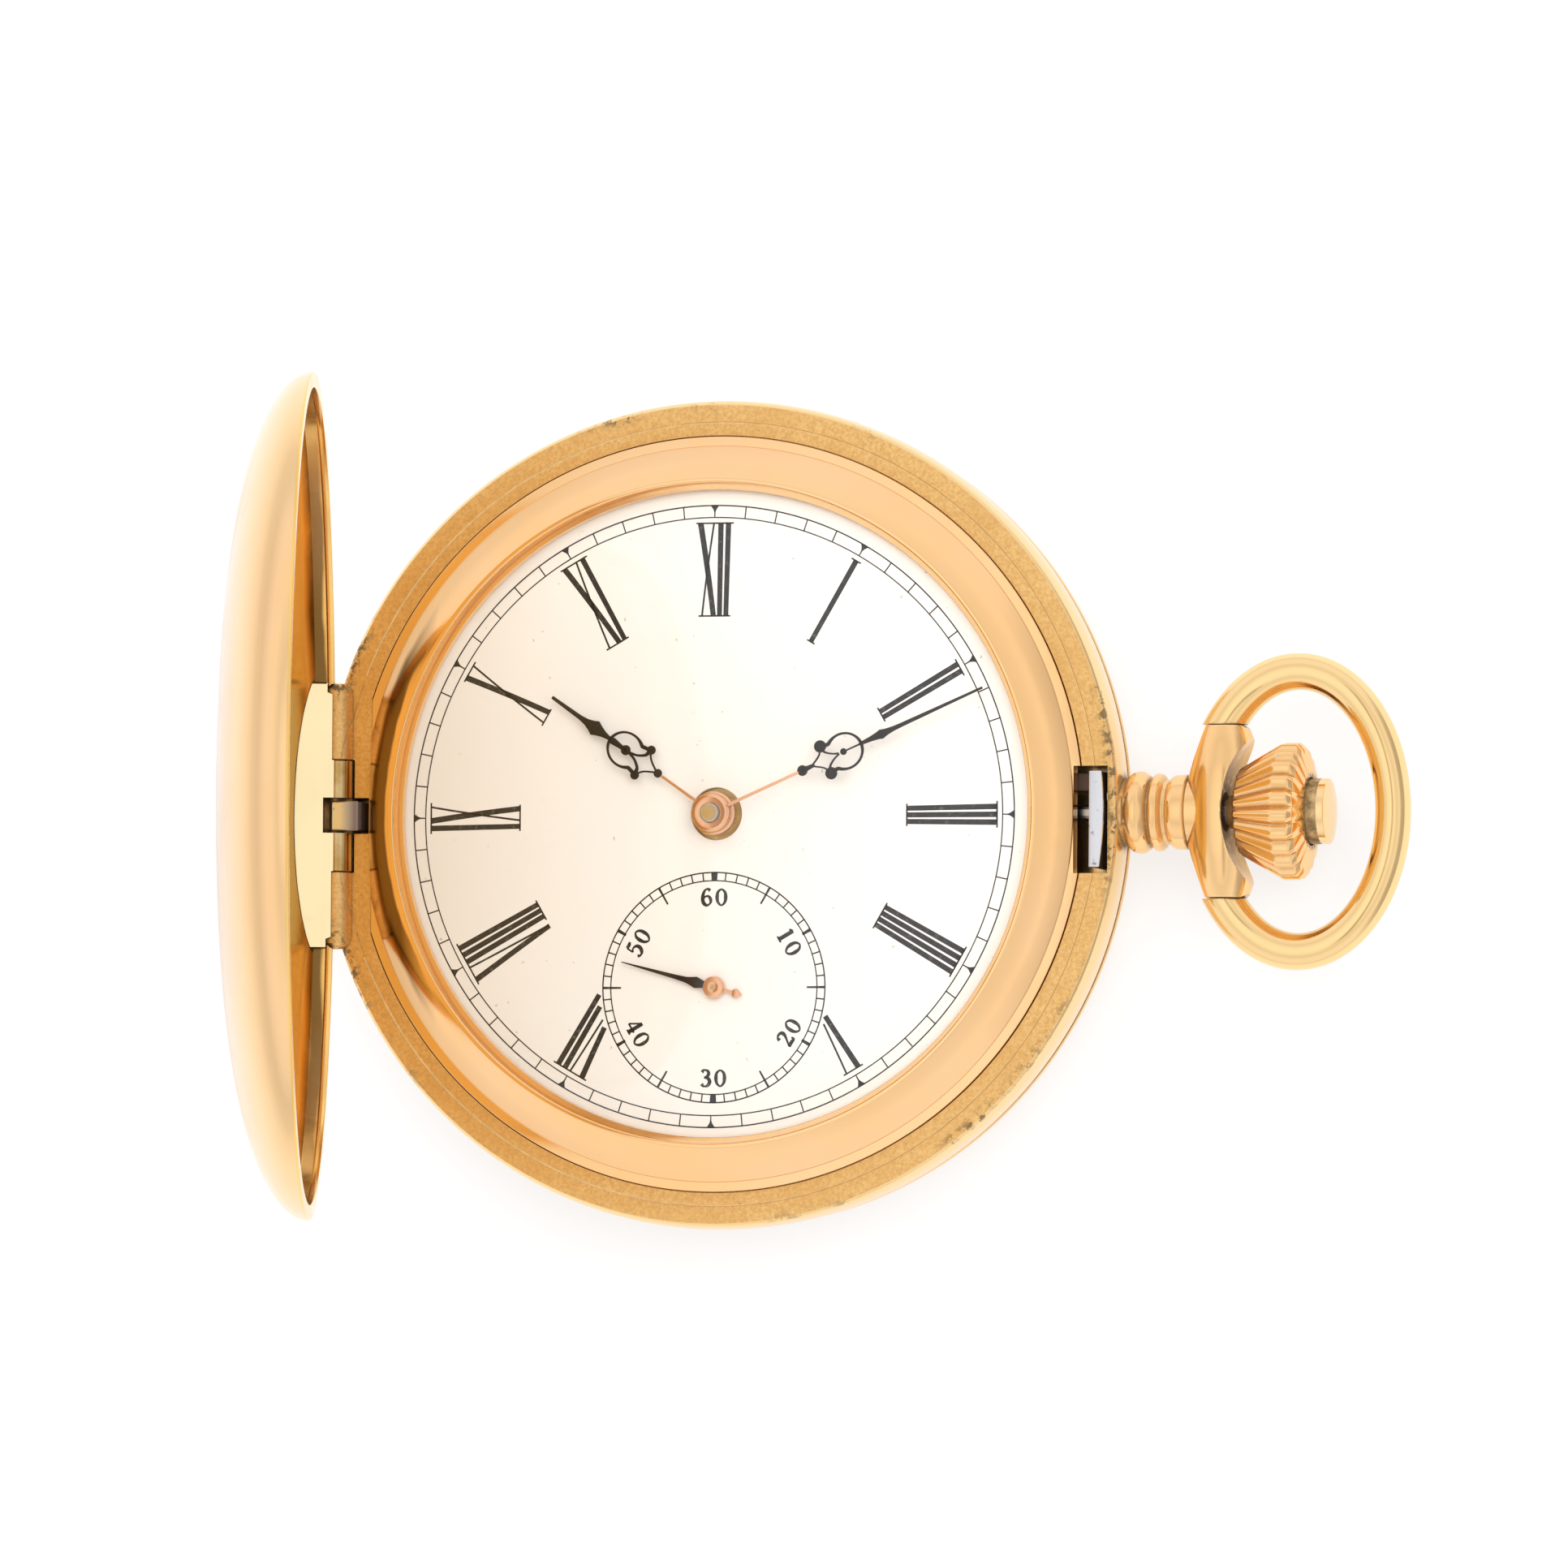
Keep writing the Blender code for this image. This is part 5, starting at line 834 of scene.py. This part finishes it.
class Print:
    """Collects flat printed shapes as quads and fans."""

    def __init__(self):
        self.points, self.faces = [], []

    def face(self, outline):
        start = len(self.points)
        self.points += [(x, y, INK_Z) for x, y in outline]
        self.faces.append(tuple(range(start, len(self.points))))

    def stroke(self, line, widths, keep=None):
        """A ribbon along a line, its width read from the two or more values given."""
        line = [np.array(p, float) for p in line]
        shares = np.linspace(0, 1, len(widths))
        sides = []
        for i, p in enumerate(line):
            way = line[min(i + 1, len(line) - 1)] - line[max(i - 1, 0)]
            way = way / max(np.linalg.norm(way), 1e-9)
            half = np.interp(i / (len(line) - 1), shares, widths) / 2
            across = np.array((-way[1], way[0])) * half
            sides.append((p + across, p - across))
        for (a, b), (c, d) in zip(sides, sides[1:]):
            if keep is None or keep((a + b + c + d) / 4):
                self.face([a, b, d, c])

    def ring(self, centre, radius, width, steps=180):
        angles = np.linspace(0, TAU, steps + 1)
        line = [(centre[0] + radius * math.cos(a), centre[1] + radius * math.sin(a)) for a in angles]
        self.stroke(line, (width, width))

    def finish(self, name):
        obj = from_points(name, self.points, self.faces, recalc=False)
        return dress(obj, "case", INK, "dial_enamel")


def make_track(ink_shapes):
    outer, inner, wedge = 18.93, 18.2, 18.5
    ink_shapes.ring(PRINT_AT, outer, 0.085, 360)
    ink_shapes.ring(PRINT_AT, inner, 0.075, 360)
    for i in range(60):
        at = polar(PRINT_AT, 90 - 6 * i)
        if i % 5:
            ink_shapes.stroke([at(inner), at(outer)], (0.08, 0.08))
            continue
        ink_shapes.stroke([at(inner), at(wedge + 0.05)], (0.07, 0.09))
        radii = np.linspace(wedge, outer + 0.02, 7)
        for r0, r1 in zip(radii, radii[1:]):
            w0, w1 = (0.04 + 0.26 * ((r - wedge) / 0.45) ** 1.6 for r in (r0, r1))
            ink_shapes.face([at(r0, -w0), at(r0, w0), at(r1, w1), at(r1, -w1)])


NUMERALS = ("XII", "I", "II", "III", "IIII", "V", None, "VII", "VIII", "IX", "X", "XI")
WIDTH = {"I": 0.44, "V": 1.12, "X": 1.16}


def make_numerals(ink_shapes):
    low, high, middle = 12.2, 17.85, 15.0

    def outside(p):
        """Whether a spot is clear of the seconds dial."""
        return math.hypot(p[0] - SECONDS_PRINT[0], p[1] - SECONDS_PRINT[1]) > 7.25

    for hour, text in enumerate(NUMERALS):
        if not text:
            continue
        at = polar(PRINT_AT, 90 - 30 * hour)

        def run(r0, u0, r1, u1, w0, w1, steps=48):
            line = []
            for t in np.linspace(0, 1, steps):
                r, u = r0 + (r1 - r0) * t, u0 + (u1 - u0) * t
                line.append(at(r, u * (0.55 + 0.45 * r / middle)))
            ink_shapes.stroke(line, (w0, w1), outside)

        def serifs(radii, u0, u1):
            for r in radii:
                run(r, u0, r, u1, 0.10, 0.10, 10)

        mid = -sum(WIDTH[letter] for letter in text) / 2
        for letter in text:
            mid += WIDTH[letter] / 2
            if letter == "I":
                run(low, mid, high, mid, 0.31, 0.34)
                serifs((low, high), mid - 0.31, mid + 0.31)
            elif letter == "V":
                run(high, mid - 0.36, low, mid + 0.02, 0.36, 0.30)
                run(high, mid + 0.42, low, mid + 0.08, 0.12, 0.12)
                serifs((high,), mid - 0.66, mid + 0.62)
            else:
                run(high, mid - 0.38, low, mid + 0.38, 0.36, 0.33)
                run(high, mid + 0.40, low, mid - 0.40, 0.12, 0.12)
                serifs((low, high), mid - 0.64, mid + 0.64)
            mid += WIDTH[letter] / 2


DIGITS = {
    "0": [([(0.31, 0.98), (0.12, 0.80), (0.07, 0.5), (0.12, 0.20), (0.31, 0.02), (0.50, 0.20), (0.55, 0.5),
            (0.50, 0.80), (0.31, 0.98)], (0.05, 0.14, 0.05, 0.14, 0.05))],
    "1": [([(0.31, 0.0), (0.31, 1.0)], (0.15, 0.15)), ([(0.12, 0.02), (0.50, 0.02)], (0.06, 0.06)),
          ([(0.30, 0.98), (0.12, 0.84)], (0.08, 0.05))],
    "2": [([(0.10, 0.76), (0.16, 0.93), (0.33, 0.98), (0.50, 0.88), (0.50, 0.68), (0.34, 0.42), (0.08, 0.08)],
           (0.15, 0.06, 0.10, 0.14, 0.08, 0.05)), ([(0.07, 0.07), (0.32, 0.09), (0.55, 0.07), (0.58, 0.24)],
                                                   (0.10, 0.14, 0.10, 0.04))],
    "3": [([(0.10, 0.84), (0.22, 0.97), (0.42, 0.92), (0.48, 0.74), (0.38, 0.58), (0.22, 0.53)],
           (0.14, 0.05, 0.12, 0.12, 0.05)),
          ([(0.22, 0.53), (0.44, 0.48), (0.54, 0.28), (0.42, 0.06), (0.2, 0.02), (0.08, 0.16)],
           (0.05, 0.13, 0.14, 0.05, 0.14))],
    "4": [([(0.42, 0.0), (0.42, 1.0)], (0.15, 0.13)), ([(0.40, 0.98), (0.04, 0.30)], (0.05, 0.05)),
          ([(0.02, 0.29), (0.60, 0.29)], (0.06, 0.06)), ([(0.26, 0.02), (0.58, 0.02)], (0.05, 0.05))],
    "5": [([(0.15, 0.94), (0.36, 0.93), (0.52, 0.98)], (0.10, 0.13, 0.07)),
          ([(0.15, 0.94), (0.12, 0.52)], (0.05, 0.05)),
          ([(0.12, 0.52), (0.32, 0.62), (0.52, 0.50), (0.54, 0.26), (0.38, 0.05), (0.18, 0.03), (0.08, 0.16)],
           (0.05, 0.06, 0.14, 0.14, 0.05, 0.12))],
    "6": [([(0.50, 0.88), (0.36, 0.98), (0.18, 0.86), (0.08, 0.5), (0.12, 0.18), (0.31, 0.02), (0.50, 0.14),
            (0.53, 0.34), (0.42, 0.54), (0.24, 0.54), (0.12, 0.38)],
            (0.13, 0.05, 0.13, 0.14, 0.05, 0.13, 0.06, 0.04))],
}


def make_seconds(ink_shapes):
    ink_shapes.ring(SECONDS_PRINT, 7.0, 0.085, 200)
    ink_shapes.ring(SECONDS_PRINT, 6.5, 0.075, 200)
    marks = ((30, 6.48, 7.02, 0.34, 0.42), (10, 6.42, 7.02, 0.16, 0.22), (5, 5.85, 6.98, 0.11, 0.15),
             (1, 6.5, 7.0, 0.085, 0.085))
    for i in range(60):
        at = polar(SECONDS_PRINT, 90 - 6 * i)
        start, end, *widths = next(mark[1:] for mark in marks if i % mark[0] == 0)
        ink_shapes.stroke([at(start), at(end)], widths)
    height, wide, pitch, middle, bolder = 1.04, 1.12, 0.92, 5.5, 1.45
    for i, text in enumerate(("60", "10", "20", "30", "40", "50")):
        at = polar(SECONDS_PRINT, 90 - 60 * i)
        upright = 1 if text in ("60", "10", "50") else -1
        for k, digit in enumerate(text):
            for line, widths in DIGITS[digit]:
                line = smooth_line(line, 8) if len(line) > 2 else line
                spots = [at(middle + upright * (y - 0.5) * height,
                            upright * ((k - 1) * pitch + 0.10 + x * wide)) for x, y in line]
                ink_shapes.stroke(spots, [w * bolder + 0.035 for w in widths])


# ---------------------------------------------------------------- hands
def ribbon(line, widths, low, high, even=True):
    """A flat strip of steel along a line with a slightly raised middle.
    Unless even, a width is each point's own."""
    line = [np.array(p, float) for p in line]
    shares = np.linspace(0, 1, len(widths))
    edge = low + (high - low) * 0.65
    sections = []
    for i, p in enumerate(line):
        way = line[min(i + 1, len(line) - 1)] - line[max(i - 1, 0)]
        way = way / max(np.linalg.norm(way), 1e-9)
        half = max(0.012, (np.interp(i / (len(line) - 1), shares, widths) if even else widths[i]) / 2)
        across = np.array((-way[1], way[0])) * half
        sections.append([(*(p + across * u), z) for u, z in
                         ((1, low), (1, edge), (0.55, high), (-0.55, high), (-1, edge), (-1, low))])
    return swept("strip", sections, 50)


def tapered(stations, low, high, steps, corners=()):
    """A straight ribbon along X whose width is read from (x, width) stations, cut at the corners too."""
    positions, widths = zip(*stations)
    dense = np.union1d(np.linspace(positions[0], positions[-1], steps), corners)
    return ribbon([(x, 0.0) for x in dense], [float(np.interp(x, positions, widths)) for x in dense], low,
                  high, False)


def disc(at, radius, low, high):
    profile = rounded([(0, high), (radius * 0.75, high, 0.06), (radius, low + (high - low) * 0.5, 0.04),
                       (radius, low), (0, low)])
    return lathe("disc", profile, 32, at=(at[0], at[1], 0), smooth=50)


def placed(obj, angle, at):
    obj.data.transform(Matrix.Translation(Vector((*at, 0)) * MM) @ Matrix.Rotation(angle, 4, "Z"))
    return obj


def openwork(inner, side, centre, ring, volute, legs, blade, low, high):
    """The pierced head of a hand, along +X. inner and centre are (x, radius), side is (x, y, radius),
    ring is (centre x, half length, half width), legs is (fork x, width) and blade lists (x, width)
    out to the tip."""
    pieces = [disc((inner[0], 0), inner[1], low, high), disc((centre[0], 0), centre[1], low, high)]
    for sign in (1, -1):
        x, y = side[0], sign * side[1]
        pieces.append(disc((x, y), side[2], low, high))
        fork = smooth_line([(legs[0], 0.03 * sign), ((legs[0] + x) / 2 + 0.12, y * 0.42),
                            (x - 0.04, y * 0.84)], 8)
        pieces.append(ribbon(fork, (legs[1], legs[1] * 0.9), low, high - 0.01))
        turn = [(ring[0] + ring[1] * math.cos(t), sign * ring[2] * math.sin(t))
                for t in np.radians(np.linspace(0, 132, 34))]
        pieces.append(ribbon(turn + [(x + 0.18, y * 0.93)], (0.2, 0.15, 0.14, 0.15, 0.24), low, high))
        curl = smooth_line([(x + 0.04, y * 0.84), (x + 0.1, y * 0.56), (x + 0.28, y * 0.36),
                            (x + 0.6, y * 0.15), (centre[0] - 0.3, 0.02 * sign)], 8)
        pieces.append(ribbon(curl, (volute * 1.7, volute * 1.2, volute, volute), low, high - 0.01))
    return pieces + [tapered(blade, low, high, 120, [x for x, _ in blade])]


def make_hands():
    hour, minute, seconds = math.radians(145.05), math.radians(23.75), math.radians(165.0)
    blade = [(6.7, 0.24), (7.2, 0.30), (7.75, 0.44), (7.9, 0.26), (8.1, 0.26), (8.5, 0.42), (8.9, 0.74),
             (9.14, 0.98), (9.2, 0.92), (9.4, 0.70), (9.8, 0.42), (10.3, 0.29), (12.4, 0.20), (12.45, 0.19)]
    black = openwork((4.27, 0.27), (5.42, 0.92, 0.28), (6.76, 0.31), (6.80, 1.14, 1.04), 0.15, (4.4, 0.12),
                     blade, 8.76, 8.88)
    dress(placed(joined("hour_head", black, 50), hour, (0, 0)), "hour_body", HAND_STEEL, "hand_steel",
          "hour_hand")
    hub = turned_ring("hub", [(0.97, 8.97), (1.12, 8.97, 0.03), (1.14, 8.9, 0.02), (1.32, 8.88, 0.04),
                              (1.34, 8.5, 0.04), (0.97, 8.5)], 0.04, 96)
    stem = ribbon([(1.2, 0), (3.95, 0)], (0.2, 0.17), 8.76, 8.875)
    dress(placed(joined("hour_hub", [hub, stem]), hour, (0, 0)), "hour_body", HAND_ROSE, "rose_gold")

    blade = [(9.1, 0.09), (10.1, 0.11), (10.27, 0.2), (10.9, 0.30), (11.4, 0.44), (11.66, 0.60),
             (11.75, 0.54), (12.0, 0.40), (12.5, 0.29), (13.0, 0.25), (18.5, 0.14), (18.55, 0.13)]
    black = openwork((6.26, 0.33), (7.85, 0.89, 0.38), (9.07, 0.21), (9.14, 1.14, 1.08), 0.11, (6.95, 0.11),
                     blade, 9.2, 9.32)
    black.append(ribbon([(6.26, 0), (7.1, 0)], (0.36, 0.2), 9.2, 9.32))
    dress(placed(joined("minute_head", black, 50), minute, (0, 0)), "centre_body", HAND_STEEL, "hand_steel",
          "minute_hand")
    hub = turned_ring("hub", [(0.6, 9.5), (0.88, 9.52, 0.03), (0.94, 9.55, 0.03), (1.14, 9.52, 0.04),
                              (1.16, 9.34, 0.03), (1.06, 9.3, 0.03), (1.06, 9.03, 0.03), (0.94, 9.03),
                              (0.94, 9.46)], 0.02, 96)
    stem = ribbon([(1.0, 0), (6.0, 0)], (0.2, 0.17), 9.2, 9.315)
    dress(placed(joined("minute_hub", [hub, stem]), minute, (0, 0)), "centre_body", HAND_ROSE, "rose_gold")
    profile = [(0, 9.70), (0.46, 9.86, 0.03), (0.56, 9.84, 0.04), (0.59, 9.76, 0.03), (0.59, 9.5)]
    arbor = lathe("arbor", rounded(profile, 0.04), 64)
    dress(arbor, "centre_body", STEEL, "steel")

    blade = tapered([(0.5, 0.3), (0.8, 0.5), (1.2, 0.72), (1.4, 0.56), (1.8, 0.36), (2.6, 0.27), (4.5, 0.16),
                     (6.03, 0.06)], 8.36, 8.45, 50)
    dress(placed(blade, seconds, SECONDS_AT), "seconds_body", HAND_STEEL, "hand_steel", "seconds_hand")
    hub = turned_ring("hub", [(0.16, 8.54), (0.3, 8.6, 0.04), (0.62, 8.58, 0.05), (0.68, 8.5, 0.04),
                              (0.68, 8.16), (0.26, 8.16), (0.26, 8.5), (0.16, 8.5)], 0.02, 72)
    tail = tapered([(-1.84, 0.06), (-1.5, 0.58), (-1.3, 0.52), (-1.2, 0.22), (-0.5, 0.26)], 8.36, 8.45, 24)
    dress(placed(joined("seconds_hub", [hub, tail]), seconds, SECONDS_AT), "seconds_body", HAND_ROSE,
          "rose_gold")


# ---------------------------------------------------------------- movement finishes and jewels
def finish_movement():
    looks = {"nickel_plate": NICKEL, "train_brass": BRASS, "steel": STEEL}
    slots = {entry["node"]: entry["material_slot"] for entry in frame["record"]["subparts"]}
    for name, node in frame["nodes"].items():
        if slots.get(name) in looks:
            node.data.materials.clear()
            node.data.materials.append(looks[slots[name]])
        if name == "hairspring" or name.endswith(("_screw", "_screw_1", "_screw_2")):
            node.data.materials.clear()
            node.data.materials.append(BLUED)
    spots = [((2.12, -5.93), 2.45), ((0.0, -10.57), 2.45), ((-4.17, -11.31), 2.45), ((-9.63, -8.16), 2.2)]
    jewels = []
    for at, z in spots:
        profile = [(0.17, z + 0.02), (0.3, z - 0.03, 0.03), (0.62, z - 0.03, 0.05), (0.68, z + 0.2, 0.02),
                   (0.17, z + 0.2)]
        jewels.append(turned_ring("jewel", profile, 0.02, 48, (*at, 0)))
    dress(joined("jewels", jewels), "case", RUBY, "steel")


# ---------------------------------------------------------------- floor, light and camera
def make_floor():
    """A white sweep that glows in a painted pool of light: brightest round the watch, dimmer far away."""
    reach = 900
    corners = [(-reach, -reach, 0), (reach, -reach, 0), (reach, reach, 0), (-reach, reach, 0)]
    floor = from_points("floor", corners, [(0, 1, 2, 3)])
    look = Look("floor_white")
    look.shader.inputs["Emission Color"].default_value = (1, 1, 1, 1)
    look.shader.inputs["Specular IOR Level"].default_value = 0.0
    # painted light: the floor glows, most round the watch
    painted_light_pool = look.spread(look.radius(), 0.075, 0.22, 0.67, 0.4)
    look.plug(look.shader.inputs["Emission Strength"], painted_light_pool)
    floor.data.materials.append(look.set(Base_Color=(0.30, 0.30, 0.30), Roughness=0.9))


def make_world():
    """A white tent with a bright roof: dimmer near the horizon, darkest low on the side of the pendant, and
    with one narrow dark strip overhead, which draws the olive lines on the bow and the yoke."""
    world = bpy.data.worlds.new("studio")
    world.use_nodes = True
    sky = Nodes(world.node_tree, "Generated", "SMOOTHSTEP")
    x, y, z = (sky.axis(name) for name in "XYZ")
    ramp = sky.add("ShaderNodeValToRGB")
    sky.plug(ramp.inputs[0], z)
    stops = [(0.0, 0.84), (0.1, 0.92), (0.25, 0.99), (0.55, 1.0), (0.8, 0.84), (1.0, 1.14)]
    for position, value in stops[1:-1]:
        ramp.color_ramp.elements.new(position)
    for element, (position, value) in zip(ramp.color_ramp.elements, stops):
        element.position = position
        element.color = (value, value * 0.985, value * (1.06 if position < 0.5 else 1.0), 1)
    pendant_side = sky.times(sky.spread(x, 0.55, 0.88), sky.spread(z, 0.38, 0.58, 1.0, 0.0), 0.5)
    strip = sky.times(sky.band(x, (0.02, 0.13), (0.14, 0.30)), sky.band(y, (-0.5, -0.4), (0.4, 0.5)),
                      sky.spread(z, 0.5, 0.6, 0.0, 0.8), 0.75)
    colour = sky.mix(pendant_side, ramp.outputs["Color"], (0.10, 0.08, 0.05))
    background = world.node_tree.nodes["Background"]
    sky.plug(background.inputs["Color"], sky.mix(strip, colour, (0.20, 0.16, 0.09)))
    background.inputs["Strength"].default_value = 1.05
    scene.world = world


def make_light(name, at, aim, size, power):
    """A soft lamp that lights the dial and the floor but isn't mirrored in the gold."""
    data = bpy.data.lights.new(name, "AREA")
    data.shape = "DISK"
    data.size = size
    data.energy = power
    lamp = bpy.data.objects.new(name, data)
    scene.collection.objects.link(lamp)
    lamp.visible_glossy = False
    lamp.location = Vector(at)
    lamp.rotation_euler = (Vector(aim) - Vector(at)).to_track_quat("-Z", "Y").to_euler()


def make_camera():
    """The photo's camera: above the dial, a little towards the pendant, in metres from its target."""
    yaw, pitch, roll, field_of_view = (math.radians(angle) for angle in (15.33, 2.97, 0.38, 5.557))
    distance, target, sensor = 0.9808, Vector((0.004242, 0.00178, 0.008)), 36.0
    away = Vector((math.sin(yaw) * math.cos(pitch), -math.sin(pitch), math.cos(yaw) * math.cos(pitch)))
    right = Vector((math.cos(yaw), 0, -math.sin(yaw)))
    up = away.cross(right)
    across = right * math.cos(roll) + up * math.sin(roll)
    upward = up * math.cos(roll) - right * math.sin(roll)
    data = bpy.data.cameras.new("camera")
    data.sensor_width = sensor
    data.lens = sensor / 2 / math.tan(field_of_view / 2)
    data.clip_start, data.clip_end = 0.05, 20
    camera = bpy.data.objects.new("camera", data)
    scene.collection.objects.link(camera)
    matrix = Matrix((across, upward, away)).transposed().to_4x4()
    matrix.translation = target + away * distance
    camera.matrix_world = matrix
    scene.camera = camera


make_case()
make_bezel()
make_crystal()
make_dial()
make_covers()
make_case_springs()
make_pendant()
make_yoke()
make_crown()
make_button()
make_bow()
printing = Print()
make_track(printing)
make_numerals(printing)
make_seconds(printing)
printing.finish("dial_printing")
make_hands()
finish_movement()
make_floor()
make_world()
make_light("left_fill", (-0.35, 0.45, 1.0), (0, 0, 0), 0.9, 4.5)
make_light("right_fill", (0.45, 0.15, 1.0), (0, 0, 0), 0.9, 6.5)
make_camera()
scene.view_settings.view_transform = "Standard"
